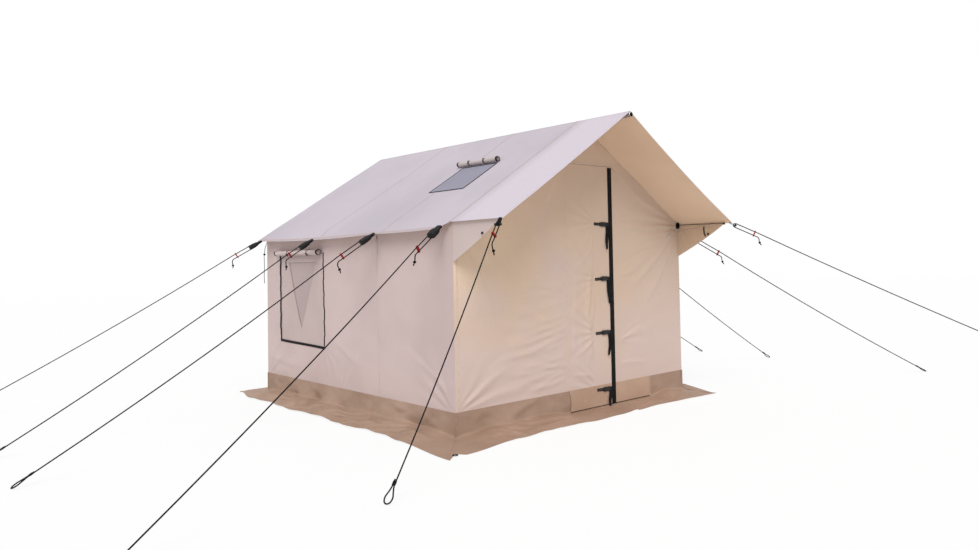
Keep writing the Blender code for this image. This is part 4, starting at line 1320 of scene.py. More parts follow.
    def hems(self) -> list[bpy.types.Object]:
        """Folded hems along both eaves and round the awning's edge."""
        t = TENT
        made = []
        for side, word in ((-1, "left"), (1, "right")):
            ys = steps(t.front + 0.08, t.back - 0.002, 0.04)
            reach = side * (t.half_width + t.eave_hem - 0.014)
            path = [self.point(reach, y) for y in ys]
            normals = [self.normal(side * (t.half_width + 0.06), y) for y in ys]
            made.append(Ribbon(f"eave_hem_{word}", 0.026, 0.001, Finish.ROOF_SEAM).lay(path, normals, 0.0014))
            xs = steps(0.012, t.half_width + t.side_hem - 0.004, 0.04)
            lead = [t.corner_lead * x / (t.half_width + t.side_hem) for x in xs]
            bow = [0.012 * math.sin(math.pi * x / (t.half_width + t.side_hem)) for x in xs]
            ys = [t.front - t.awning + 0.012 - a + b for a, b in zip(lead, bow)]
            path = [self.point(side * x, y) for x, y in zip(xs, ys)]
            normals = [self.normal(side * x, y) for x, y in zip(xs, ys)]
            made.append(Ribbon(f"awning_hem_{word}", 0.022, 0.0006, Finish.ROOF_HEM).lay(path, normals, 0.0007))
        peak = Vector((0.0, t.front - t.awning + 0.010, t.ridge - 0.017))
        ring = [peak + Vector((0.0075 * math.cos(a), 0.0, 0.0075 * math.sin(a))) for a in turns(20)]
        add_piece("awning_peak_ring", tube("ring", ring, 0.0018, 8, closed=True), Finish.PLASTIC)
        return made


# Stove opening


@dataclass
class StoveOpening:
    """The patch over the stove opening, its black binding, and the flap rolled up over it."""

    roof: Roof
    margin: float = 0.02
    roll_radius: float = 0.0225
    roll_place: float = 0.455
    roll_span: Point2 = (0.44, 0.97)

    def build(self) -> None:
        """Build patch, binding, roll and its two ties."""
        t = TENT
        near, far, inner, outer = self.roof.stove
        low, high = -(outer + self.margin), -(inner - self.margin)
        start, end = t.front + near - self.margin, t.front + far + self.margin
        xs, ys = steps(low, high, 0.02), steps(start, end, 0.02)
        x, y = np.meshgrid(xs, ys)
        u, v = (x - low) / (high - low), (y - start) / (end - start)
        belly = 0.004 * np.sin(math.pi * u) * np.sin(math.pi * v)
        z = self.roof.top(x, y) + 0.0024 - belly * 0.5 + 0.0005 * wander(x, y, 14.0, 3.0)
        slant = 1 / math.cos(t.angle)
        mesh = sheet_mesh("stove_patch", grid(x, y, z), grid(x * slant, y))
        patch = add_piece("stove_patch", mesh, Finish.STOVE)
        thicken(patch, THIN_CLOTH)
        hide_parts("stove_opening_patch")
        ring = [(low, start), (low, end), (high, end), (high, start), (low, start)]
        for index, ((ax, ay), (bx, by)) in enumerate(zip(ring, ring[1:])):
            spots = [(ax + (bx - ax) * k / 12, ay + (by - ay) * k / 12) for k in range(13)]
            path = [self.roof.point(a, b) + UP * 0.0022 for a, b in spots]
            normals = [self.roof.normal(a, b) for a, b in spots]
            Ribbon(f"stove_binding_{index}", 0.011, 0.0012, Finish.WEBBING).lay(path, normals, 0.0016)
        self.roll()

    def roll(self) -> None:
        """The rolled flap with its ties."""
        start, end = (TENT.front + place for place in self.roll_span)
        normal = self.roof.normal(-self.roll_place, (start + end) / 2)
        down = Vector((-math.cos(TENT.angle), 0.0, -math.sin(TENT.angle)))
        low, high = (
            self.roof.point(-self.roll_place, y) + normal * (self.roll_radius + 0.0012) for y in (start, end)
        )
        roll = RolledFlap("stove_roll", self.roll_radius, low, high, -normal, down)
        roll.build("stove_flap_roll", (0.32, 0.70))


# Rolled flaps


@dataclass
class RolledFlap:
    """A flap of cloth rolled up and tied, its bound edge seen as a dark spiral at each end."""

    name: str
    radius: float
    start: Vector
    end: Vector
    first: Vector
    second: Vector
    finish: Finish = Finish.FLAP
    turns: float = 3.6
    core_share: float = 0.20

    def ring(
        self, point: Vector, swell: float, thickness: float, slack: float, from_turn: float = 0.0
    ) -> list[Vector]:
        """The spiral's outline at one place along the roll.

        Args:
            point: the roll's centre there.
            swell: the share of its full radius.
            thickness: the cloth's thickness.
            slack: how far the turns have shifted.
            from_turn: the turn at which it starts.

        Returns:
            The outline, out along the outer face and back along the inner.
        """
        count = int(self.turns * 22)
        outer, inner = [], []
        for index in range(int(from_turn * 22), count + 1):
            turn = 2 * math.pi * index / 22 + slack * 0.25
            out = self.radius * swell * (self.core_share + (1 - self.core_share) * index / count)
            direction = self.first * math.cos(turn) + self.second * math.sin(turn)
            outer.append(point + direction * out)
            inner.append(point + direction * (out - thickness))
        return outer + inner[::-1]

    def build(self, node: str, ties: tuple[float, ...]) -> None:
        """Build the roll, its bound ends and its ties.

        Args:
            node: the CAD node that it stands for.
            ties: where its ties go round, as shares of its length.
        """
        count = 26
        rings = []
        for index in range(count + 1):
            share = index / count
            pinch = 1.0 - 0.13 * sum(math.exp(-(((share - tie) / 0.028) ** 2)) for tie in ties)
            swell = pinch * (0.985 + 0.015 * math.sin(share * 23.0))
            point = self.start.lerp(self.end, share)
            rings.append(self.ring(point, swell, self.radius * 0.185, math.sin(share * 9.0) * 0.4))
        mesh = self.skin(self.name, rings)
        roll = add_piece(self.name, mesh, self.finish)
        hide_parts(node)
        extras = []
        along = (self.end - self.start).normalized()
        for word, point, way in (("start", self.start, -1), ("end", self.end, 1)):
            tip = point + along * way * 0.0009
            slack = math.sin(0.0 if way < 0 else 9.0) * 0.4
            edge = [self.ring(p, 0.996, 0.0014, slack) for p in (point - along * way * 0.002, tip)]
            extras.append(add_piece(f"{self.name}_bound_{word}", self.skin("bound", edge), Finish.WEBBING))
            wrap = (point - along * way * 0.016, tip + along * way * 0.0006)
            band = [self.ring(p, 1.035, 0.0036, slack, self.turns - 1.06) for p in wrap]
            extras.append(add_piece(f"{self.name}_wrap_{word}", self.skin("wrap", band), Finish.WEBBING))
        for index, tie in enumerate(ties):
            extras += self.tie(index, self.start.lerp(self.end, tie), along)
        length = (self.end - self.start).length
        cloth = 2 * math.pi * self.turns * self.radius * (1 + self.core_share) / 2

    def skin(self, name: str, rings: list[list[Vector]]) -> bpy.types.Mesh:
        """A band of cloth through spiral outlines, closed in strips at its ends.

        Args:
            name: the mesh's name.
            rings: the outlines, in order.

        Returns:
            The closed mesh.
        """
        shape, loops = skinned(rings, False)
        for ring in (loops[0], loops[-1]):
            for index in range(len(ring) // 2 - 1):
                shape.faces.new((ring[index], ring[index + 1], ring[-index - 2], ring[-index - 1]))
        return finished(shape, name, 45)

    def tie(self, index: int, point: Vector, along: Vector) -> list[bpy.types.Object]:
        """A tape round the roll, with its toggle.

        Args:
            index: the tie's number.
            point: the roll's centre there.
            along: the roll's direction.

        Returns:
            The tape and the toggle.
        """
        reach = self.radius * 0.87 + 0.0012
        thick, half = 0.0013, 0.0038
        section = ((0, -half), (thick, -half), (thick, half), (0, half))
        rings = []
        for turn in turns(28):
            out = self.first * math.cos(turn) + self.second * math.sin(turn)
            rings.append([point + out * (reach + a) + along * b for a, b in section])
        tape = add_piece(f"{self.name}_tape_{index}", loft("tape", rings, closed=True), Finish.WEBBING)
        outward = (-self.first * 0.55 + self.second * 0.45).normalized()
        if outward.dot(Vector((-1 if point.x < 0 else 1, 0, 0.3))) < 0:
            outward = -outward
        middle = point + outward * (reach + 0.004)
        upright = outward.cross(along).normalized()
        path = [middle + upright * a for a in (-0.013, -0.0115, 0.0, 0.0115, 0.013)]
        toggle = add_piece(f"{self.name}_toggle_{index}", tube("toggle", path, 0.0042, 10), Finish.PLASTIC)
        return [tape, toggle]


# Walls


@dataclass
class SideWall:
    """One side wall: cloth with a window, its net, inner curtain and binding."""

    side: int
    word: str
    step: float = 0.017
    window: tuple[float, float, float, float] = (1.89, 2.74, 0.51, 1.29)  # near, far, sill, head
    roll_rise: float = 0.030
    notch: tuple[Point2, ...] = ((0.20, 0.915), (0.48, 0.165), (0.83, 0.915))
    seam: float = 0.99

    def out(self, u: np.ndarray, v: np.ndarray) -> np.ndarray:
        """How far the cloth stands out from the wall's plane.

        Args:
            u: places behind the front wall.
            v: heights.

        Returns:
            The push outwards in metres.
        """
        fans = (
            Fan((0.99, 1.47), -90.0, 26.0, 15.0, 0.013, 0.15, 0.6),
            Crease((1.00, 1.46), (0.90, 1.20), 0.006, 0.014, 0.010),
            Crease((0.98, 1.46), (1.08, 1.22), 0.005, 0.014, 0.010),
            Fan((0.0, 0.16), 36.0, 24.0, 16.0, 0.0075, 0.36, 2.0),
            Fan((3.05, 0.16), 140.0, 24.0, 15.0, 0.0075, 0.36, 5.0),
            Fan((0.03, 1.49), -52.0, 26.0, 15.0, 0.006, 0.26, 3.0),
            Fan((1.92, 1.47), -90.0, 34.0, 13.0, 0.004, 0.18, 4.0),
            Fan((1.6, 0.16), 120.0, 24.0, 15.0, 0.005, 0.34, 1.0),
            Fan((2.74, 0.51), -50.0, 30.0, 13.0, 0.005, 0.22, 2.4),
            Fan((1.89, 0.51), -130.0, 30.0, 13.0, 0.005, 0.22, 0.4),
            Crease((0.05, 0.30), (0.70, 0.60), 0.0050, 0.024, 0.020),
            Crease((0.04, 1.30), (0.62, 0.86), 0.0045, 0.026, 0.024),
            Crease((1.80, 0.60), (1.20, 0.36), 0.0045, 0.022, 0.016),
            Crease((2.98, 0.34), (2.20, 0.30), 0.0045, 0.022, 0.016),
        )
        drape = Drape(0.008, 1.25, 0.0018, 7.0, fans, 2.0 + self.side)
        fade = edge_fade(u, 0.0, TENT.length, 0.07) * edge_fade(v, 0.165, 1.56, 0.07)
        return (0.002 + drape.relief(u, v)) * fade

    def tilt(self, u: np.ndarray) -> np.ndarray:
        """How far the window's sill hangs below its height, more towards the front."""
        near, far = self.window[:2]
        return 0.019 * np.clip((far - u) / (far - near), 0.0, 1.0)

    def point(self, u: float, v: float, lift: float = 0.0) -> Vector:
        """A point of the outer face, by its place behind the front wall and its height."""
        push = float(self.out(np.array([u]), np.array([v]))[0]) + lift
        return Vector((self.side * (TENT.half_width + push), TENT.front + u, v))

    def cloth(
        self, name: str, u: np.ndarray, v: np.ndarray, push: np.ndarray, keep: np.ndarray | None = None
    ) -> bpy.types.Mesh:
        """Cloth that lies along the wall.

        Args:
            name: the mesh's name.
            u: places behind the front wall.
            v: heights.
            push: how far each place stands out from the wall's plane.
            keep: which cells are cloth, or None for all.

        Returns:
            The mesh.
        """
        x = self.side * (TENT.half_width + push)
        return sheet_mesh(name, grid(x, TENT.front + u, v), grid(u, v), keep, self.side < 0)

    def inner_push(self, u: np.ndarray, v: np.ndarray) -> np.ndarray:
        """The wall's own push, limited for the cloths behind it."""
        return np.minimum(self.out(u, v), 0.004)

    def build(self) -> None:
        """Build the wall with everything on it."""
        t = TENT
        near, far, sill, head = self.window
        top = t.under(t.half_width) - 0.0004
        us = steps(0.0, t.length, self.step, (near, far, self.seam))
        vs = steps(WALL_FOOT, top, self.step, (sill, head))
        u, v = np.meshgrid(us, vs)
        v = v - self.tilt(u) * np.clip(1 - np.abs(v - sill) / 0.12, 0.0, 1.0)
        mid_u, mid_v = np.meshgrid((us[:-1] + us[1:]) / 2, (vs[:-1] + vs[1:]) / 2)
        hole = (mid_u > near) & (mid_u < far) & (mid_v > sill) & (mid_v < head)
        mesh = self.cloth(f"side_wall_{self.word}", u, v, self.out(u, v), ~hole)
        wall = add_piece(f"side_wall_{self.word}", mesh, Finish.SIDE)
        thicken(wall, WALL_CLOTH)
        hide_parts(f"wall_{self.word}")
        bands = self.bands()
        self.openings()

    def bands(self) -> list[bpy.types.Object]:
        """The wall's seam and the black binding down and under its window."""
        near, far, sill, head = self.window
        made = []
        spots = [(self.seam, z) for z in steps(0.19, 1.478, 0.03)]
        seam = Ribbon(f"side_seam_{self.word}", 0.016, 0.001, Finish.SIDE_SEAM)
        made.append(seam.follow(spots, self.point, 0.0007))
        for index, place in enumerate((near, far)):
            spots = []
            for z in steps(sill - 0.006, head + 0.012, 0.016):
                wave = 0.0040 * math.sin(z * 38.0 + index * 2.0) + 0.0025 * math.sin(z * 91.0)
                spots.append((place + wave, z))
            binding = Ribbon(f"window_binding_{self.word}_{index}", 0.016, 0.0016, Finish.WEBBING)
            made.append(binding.follow(spots, self.point, 0.003))
        spots = [(u, sill - 0.002 - float(self.tilt(u))) for u in steps(near - 0.006, far + 0.006, 0.02)]
        binding = Ribbon(f"window_sill_{self.word}", 0.022, 0.002, Finish.WEBBING)
        made.append(binding.follow(spots, self.point, 0.0036))
        return made

    def openings(self) -> None:
        """The net behind the opening, the notched curtain behind that, and the rolled flap."""
        t = TENT
        near, far, sill, head = self.window
        us = steps(near - 0.02, far + 0.02, 0.02)
        vs = steps(sill - 0.04, head + 0.02, 0.02)
        u, v = np.meshgrid(us, vs)
        push = self.inner_push(u, v) - 0.0095 + 0.0006 * wander(u * 1.7, v, 6.0, 3.3)
        net = add_piece(f"window_net_{self.word}", self.cloth("net", u, v, push), Finish.NET)
        thicken(net, 0.0006)
        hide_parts(f"window_screen_{self.word}")
        self.curtain()
        x = self.side * (t.half_width + 0.0305)
        z = head + self.roll_rise - 0.014
        start = Vector((x, t.front + near + 0.028, z))
        end = Vector((x, t.front + far + 0.022, z))
        inward = Vector((-self.side, 0, 0))
        roll = RolledFlap(f"window_roll_{self.word}", 0.027, start, end, inward, -UP, Finish.WALL_FLAP)
        roll.build(f"window_flap_roll_{self.word}", (0.225, 0.685))

    def curtain(self) -> None:
        """The inner curtain, tied back so that it leaves a pointed gap."""
        near, far, sill, head = self.window
        wide, high = far - near, head - sill
        places = [(far - wide * a, sill + high * b) for a, b in self.notch]
        us = steps(near, far, 0.017, [place[0] for place in places])
        left, tip, right = places
        tops = []
        for u in us:
            if right[0] <= u <= left[0]:
                if u >= tip[0]:
                    share = (u - tip[0]) / (left[0] - tip[0])
                else:
                    share = (tip[0] - u) / (tip[0] - right[0])
                tops.append(tip[1] + (left[1] - tip[1]) * share**1.12)
            else:
                tops.append(left[1])
        tops = np.array(tops)
        foot = sill - 0.03
        u, v = columns(us, foot, tops, 44)
        folds = 0.002 * wander(u, v, 6.0, 8.0) + 0.0012 * wander(u * 3.0, v, 5.0, 2.0)
        mesh = self.cloth("curtain", u, v, self.inner_push(u, v) - 0.0040 + folds * 0.6)
        curtain = add_piece(f"window_curtain_cloth_{self.word}", mesh, Finish.INNER)
        thicken(curtain, THIN_CLOTH)
        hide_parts(f"window_curtain_{self.word}")
        area = area_under(tops - foot, us)
        u, v = np.meshgrid(us, np.linspace(left[1] - 0.004, head + 0.02, 7))
        mesh = self.cloth("valance", u, v, self.inner_push(u, v) - 0.0032)
        valance = thicken(add_piece(f"window_valance_{self.word}", mesh, Finish.INNER), THIN_CLOTH)
        left[1] - foot


@dataclass
class EndWalls:
    """The front wall round its doorway, the plain back wall and the gussets."""

    step: float = 0.014
    hinge_left: float = -0.15
    zip_place: float = 0.31
    hinge_right: float = 0.78
    door_head: float = 1.95
    strip: float = 0.046
    head_margin: float = 0.155
    buckles: tuple[float, ...] = (1.475, 1.035, 0.60, 0.145)
    # Each crease's start, end, depth, width and bend, as Crease takes them
    creases: tuple[tuple[Point2, Point2, float, float, float], ...] = (
        ((0.10, 0.36), (0.06, 1.06), 0.0075, 0.012, 0.012),
        ((0.02, 1.02), (0.07, 0.30), 0.0055, 0.014, 0.014),
        ((0.12, 1.40), (0.05, 0.82), 0.0065, 0.012, 0.010),
        ((0.14, 0.98), (-0.10, 1.34), 0.0055, 0.013, 0.010),
        ((0.14, 0.62), (-0.12, 0.90), 0.0060, 0.013, 0.008),
        ((0.13, 0.55), (-0.12, 0.42), 0.0050, 0.013, 0.008),
        ((0.13, 0.22), (-0.12, 0.42), 0.0060, 0.013, 0.008),
        ((0.12, 0.26), (-0.08, 0.66), 0.0050, 0.014, 0.010),
        ((-0.12, 0.30), (0.10, 0.27), 0.0060, 0.012, 0.008),
        ((-0.10, 0.42), (-0.04, 1.30), 0.0035, 0.016, 0.012),
        ((1.18, 1.48), (0.42, 1.36), 0.0065, 0.018, 0.020),
        ((1.20, 1.465), (0.46, 1.46), 0.0110, 0.016, 0.010),
        ((1.20, 1.42), (0.52, 1.36), 0.0120, 0.018, 0.014),
        ((1.20, 1.40), (0.64, 1.25), 0.0080, 0.015, 0.010),
        ((-0.18, 1.00), (-0.66, 1.02), 0.0065, 0.016, 0.010),
        ((-0.20, 0.72), (-0.74, 0.62), 0.0070, 0.016, 0.012),
        ((-0.19, 0.61), (-0.92, 0.47), 0.0070, 0.018, 0.018),
        ((-0.19, 0.40), (-0.84, 0.36), 0.0065, 0.016, 0.012),
        ((-0.18, 0.28), (-0.60, 0.24), 0.0060, 0.014, 0.010),
        ((0.11, 1.28), (-0.08, 1.10), 0.0055, 0.012, 0.008),
        ((0.12, 1.16), (0.03, 0.70), 0.0060, 0.012, 0.010),
        ((0.13, 0.90), (0.09, 0.62), 0.0070, 0.012, 0.006),
        ((1.18, 1.45), (0.44, 1.20), 0.0075, 0.020, 0.026),
        ((1.18, 1.43), (0.60, 1.10), 0.0060, 0.016, 0.016),
        ((1.18, 1.41), (0.50, 0.90), 0.0070, 0.022, 0.020),
        ((1.17, 1.36), (0.66, 0.70), 0.0050, 0.024, 0.028),
        ((1.16, 1.50), (0.46, 1.60), 0.0050, 0.020, 0.016),
        ((1.16, 1.53), (0.52, 1.78), 0.0040, 0.020, 0.016),
        ((-0.18, 0.97), (-0.80, 0.93), 0.0045, 0.018, 0.014),
        ((-0.18, 0.88), (-0.78, 0.80), 0.0045, 0.020, 0.020),
        ((-0.18, 0.77), (-0.70, 0.70), 0.0050, 0.018, 0.012),
        ((-0.18, 0.68), (-0.86, 0.56), 0.0050, 0.022, 0.024),
        ((-0.18, 0.56), (-0.66, 0.50), 0.0045, 0.018, 0.012),
        ((-0.18, 0.46), (-0.72, 0.42), 0.0045, 0.020, 0.020),
        ((-0.18, 0.33), (-0.62, 0.32), 0.0040, 0.018, 0.014),
        ((-1.19, 1.44), (-0.60, 0.96), 0.0045, 0.028, 0.028),
        ((-1.19, 1.40), (-0.82, 0.70), 0.0045, 0.026, 0.026),
        ((-1.16, 0.22), (-0.72, 0.44), 0.0045, 0.022, 0.020),
        ((-1.12, 0.20), (-0.60, 0.28), 0.0040, 0.020, 0.016),
        ((-0.24, 1.90), (-0.62, 1.20), 0.0040, 0.030, 0.020),
        ((0.40, 0.50), (0.74, 0.62), 0.0040, 0.018, 0.014),
        ((0.40, 0.34), (0.78, 0.30), 0.0035, 0.018, 0.012),
    )

    def leaf_out(self, u: np.ndarray, v: np.ndarray) -> np.ndarray:
        """The door's push: the wall's own, flat where the zip, its strip and the sockets lie."""
        left = np.clip((self.zip_place - 0.112 - u) / 0.13, 0.0, 1.0)
        right = np.clip((u - self.zip_place - self.strip) / 0.11, 0.0, 1.0)
        share = np.maximum(left, right)
        return self.out(u, v) * eased(share)

    def head(self, x: float) -> float:
        """Height of the doorway's head, carried on over the whole front."""
        knee = self.zip_place + self.strip
        low = TENT.under(self.hinge_right) - self.head_margin
        slope = (low - self.door_head) / (self.hinge_right - knee)
        height = self.door_head if x < knee else self.door_head + slope * (x - knee)
        return min(height, TENT.under(x) - 0.07)

    def relief(self, u: np.ndarray, v: np.ndarray) -> np.ndarray:
        """How far the front cloth stands out towards the door's side.

        Args:
            u: places across the tent.
            v: heights.

        Returns:
            The push outwards in metres.
        """
        pulls: list[Fan | Crease] = [
            Fan((self.zip_place - 0.14, z), 164.0, 56.0, 17.0, 0.0095, 0.17, index * 1.7)
            for index, z in enumerate(self.buckles)
        ]
        pulls += [
            Fan((1.20, 1.47), 196.0, 26.0, 26.0, 0.011, 0.50, 0.4),
            Fan((-0.15, 0.66), 176.0, 24.0, 26.0, 0.0055, 0.46, 1.1),
            Fan((-0.15, 0.95), 174.0, 20.0, 24.0, 0.0050, 0.40, 2.2),
            Fan((-0.15, 0.38), 184.0, 22.0, 26.0, 0.0055, 0.42, 3.3),
            Fan((0.37, 0.52), 12.0, 24.0, 18.0, 0.0045, 0.26, 0.9),
            Fan((0.37, 1.035), 8.0, 24.0, 16.0, 0.0040, 0.24, 4.1),
            Fan((0.37, 1.50), 20.0, 26.0, 16.0, 0.0040, 0.24, 1.6),
            Fan((-1.20, 1.46), -60.0, 26.0, 14.0, 0.0050, 0.36, 2.6),
            Fan((-1.20, 0.18), 35.0, 26.0, 15.0, 0.0055, 0.36, 0.2),
        ]
        pulls += [Crease(*crease) for crease in self.creases]
        return Drape(0.008, 1.15, 0.0016, 9.0, tuple(pulls), 6.3).relief(u, v)

    def out(self, u: np.ndarray, v: np.ndarray) -> np.ndarray:
        """The front cloth's push, faded where it is sewn down."""
        under = np.array([TENT.under(float(x)) for x in np.ravel(u)]).reshape(np.shape(u))
        fade = edge_fade(u, -TENT.half_width, TENT.half_width, 0.06)
        fade = fade * np.clip((under - v) / 0.06, 0.0, 1.0) * np.clip((v - 0.165) / 0.05, 0.0, 1.0)
        return (0.0015 + self.relief(u, v)) * fade

    def build(self) -> None:
        """Build front, back and gussets."""
        t = TENT
        half = t.half_width - 0.0004
        marks = (self.hinge_left, self.hinge_right, self.zip_place + self.strip, 0.0)
        us = steps(-half, half, self.step, marks)
        heads = np.array([self.head(float(x)) for x in us])
        tops = np.array([t.under(float(x)) - 0.0006 for x in us])
        pole = np.abs(us) < 0.026
        tops[pole] = np.minimum(tops[pole], t.under(0.0) - 0.0465)
        beside, above = columns(us, WALL_FOOT, heads, 120), columns(us, heads, tops, 20)
        u, v = (np.concatenate([lower, upper[1:]]) for lower, upper in zip(beside, above))
        y = t.front - self.out(u, v)
        keep = np.ones((v.shape[0] - 1, v.shape[1] - 1), dtype=bool)
        middle = (us[:-1] + us[1:]) / 2
        door = (middle > self.hinge_left) & (middle < self.hinge_right)
        keep[: len(beside[0]) - 1, door] = False
        mesh = sheet_mesh("front_wall", grid(u, y, v), grid(u, v), keep)
        front = add_piece("front_wall", mesh, Finish.FRONT)
        thicken(front, WALL_CLOTH)
        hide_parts("wall_front")
        whole = area_under(tops - WALL_FOOT, us)
        doorway = (us >= self.hinge_left) & (us <= self.hinge_right)
        door_area = area_under((heads - WALL_FOOT) * doorway, us)
        self.front_seams()
        self.back(us)
        for side, word in ((-1, "left"), (1, "right")):
            self.gusset(side, word)

    def front_seams(self) -> list[bpy.types.Object]:
        """The seams beside the doorway, over it and down the left corner."""
        over = steps(self.hinge_left - 0.01, self.hinge_right, 0.02)
        seams = {
            "door_seam": (0.012, [(self.hinge_left - 0.011, z) for z in steps(0.19, self.door_head + 0.02, 0.02)]),
            "head_seam": (0.014, [(x, self.head(float(x)) + 0.007) for x in over]),
            "corner_seam": (0.012, [(-TENT.half_width + 0.030, z) for z in steps(0.19, 1.46, 0.03)]),
        }
        return [
            Ribbon(name, width, 0.0006, Finish.FRONT_SEAM).follow(spots, self.point, 0.0007)
            for name, (width, spots) in seams.items()
        ]

    def point(self, u: float, v: float, lift: float = 0.0) -> Vector:
        """A point of the front's outer face, by its place across the tent and its height."""
        push = float(self.out(np.array([u]), np.array([v]))[0]) + lift
        return Vector((u, TENT.front - push, v))

    def back(self, us: np.ndarray) -> None:
        """The plain back wall, at those places across the tent."""
        t = TENT
        tops = np.array([t.under(float(x)) - 0.0006 for x in us])
        u, v = columns(us, WALL_FOOT, tops, 110)
        fans = (
            Fan((0.0, 2.2), -90.0, 24.0, 12.0, 0.009, 0.6, 1.0),
            Fan((-1.2, 0.18), 36.0, 26.0, 13.0, 0.012, 0.5, 2.0),
            Fan((1.2, 0.18), 144.0, 26.0, 13.0, 0.012, 0.5, 4.0),
            Fan((-1.2, 1.48), -40.0, 26.0, 13.0, 0.009, 0.5, 3.0),
            Fan((1.2, 1.48), 220.0, 26.0, 13.0, 0.009, 0.5, 0.5),
            Crease((-1.1, 0.3), (0.5, 0.75), 0.006, 0.034, 0.03),
            Crease((1.1, 0.4), (-0.3, 1.1), 0.006, 0.034, 0.03),
        )
        drape = Drape(0.008, 1.1, 0.0018, 7.0, fans, 11.0)
        fade = edge_fade(u, -t.half_width, t.half_width, 0.06) * np.clip((tops[None, :] - v) / 0.06, 0, 1)
        y = t.back + (0.0015 + drape.relief(u, v)) * fade * np.clip((v - 0.165) / 0.05, 0, 1)
        mesh = sheet_mesh("back_wall", grid(u, y, v), grid(u, v), None, True)
        back = add_piece("back_wall", mesh, Finish.SIDE)
        thicken(back, WALL_CLOTH)
        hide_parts("wall_back")
        area = area_under(tops - WALL_FOOT, us)

    def gusset(self, side: int, word: str) -> None:
        """The curved gusset between the awning's side and the wall's corner.

        Args:
            side: minus one for the left.
            word: left or right.
        """
        t = TENT
        top = t.under(t.half_width) - 0.0004
        reach, drop = t.awning - 0.03, 0.284
        us = steps(0.0, reach, 0.02)
        lows = top - drop * (1 - us / reach) ** 0.85
        u, v = columns(us, top, lows, 18)
        soft = 0.004 * wander(u, v, 4.0, 5.0 + side) * edge_fade(v, float(lows.min()), top, 0.05)
        points = grid(side * (t.half_width + soft), t.front - 0.0005 - u, v)
        mesh = sheet_mesh(f"gusset_{word}", points, grid(u, v), None, side < 0)
        gusset = add_piece(f"gusset_{word}", mesh, Finish.GUSSET)
        thicken(gusset, 0.002)
        gusset.data.materials.append(Finish.GUSSET_LINING.material())
        gusset.modifiers["thickness"].material_offset = 1
        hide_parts(f"awning_gusset_{word}")
        area = max(area_under(top - lows, us), 0.31 * reach * drop)
        extras = self.gusset_trim(side, word, top)

    def gusset_trim(self, side: int, word: str, top: float) -> list[bpy.types.Object]:
        """The black edge under the awning's side, the loop at the corner and a toggle.

        Args:
            side: minus one for the left.
            word: left or right.
            top: the gusset's height at the wall.

        Returns:
            The pieces.
        """
        t = TENT
        inside = side * (t.half_width - 0.0042)
        inward = Vector((-side, 0.0, 0.0))

        def place(u: float, v: float, lift: float) -> Vector:
            return Vector((inside - side * lift, t.front - u, v))

        edge = [(u, top - 0.007 - 0.006 * u) for u in steps(0.004, t.awning - 0.035, 0.02)]
        seam = [(u, top - 0.072 * (1 - u / 0.53)) for u in steps(0.006, 0.44, 0.02)]
        strap = [(0.2955, top - 0.030), (0.291, top - 0.058), (0.295, top - 0.088), (0.309, top - 0.118)]
        made = [
            Ribbon(f"gusset_{part}_{word}", width, thickness, finish).follow(spots, place, lift)
            for part, width, thickness, finish, spots, lift in (
                ("edge", 0.0045, 0.0014, Finish.WEBBING, edge, 0.0022),
                ("seam", 0.012, 0.001, Finish.FRONT_SEAM, seam, 0.0014),
                ("strap", 0.011, 0.0014, Finish.WEBBING, strap, 0.0036),
            )
        ]
        path = []
        for turn in turns(28):
            bulge = Vector((inside, t.front, top)) + inward * (0.018 + 0.011 * math.cos(turn))
            path.append(bulge + Vector((0.0, -0.016, -0.012 + 0.026 * math.sin(turn))))
        across = Vector((0.0, 0.011, 0.0))
        rings = []
        for index, point in enumerate(path):
            step = path[(index + 1) % len(path)] - path[index - 1]
            normal = step.cross(across).normalized() * 0.0012
            rings.append([point + across * a + normal * b for a, b in ((-1, -1), (1, -1), (1, 1), (-1, 1))])
        made.append(add_piece(f"corner_loop_{word}", loft("loop", rings, closed=True), Finish.WEBBING))
        middle = Vector((side * t.half_width, t.front - 0.3375, top - 0.098))
        corner = Vector((inside, t.front - 0.512, top - 0.016))
        for part, centre, reaches, radius in (
            ("gusset", middle, (-0.0085, -0.0075, 0.0, 0.0105, 0.0115), 0.0082),
            ("corner", corner, (0.001, 0.002, 0.012, 0.013), 0.0075),
        ):
            shaft = tube("toggle", [centre + inward * a for a in reaches], radius, 14)
            made.append(add_piece(f"{part}_toggle_{word}", shaft, Finish.PLASTIC))
        return made


# Sod cloth


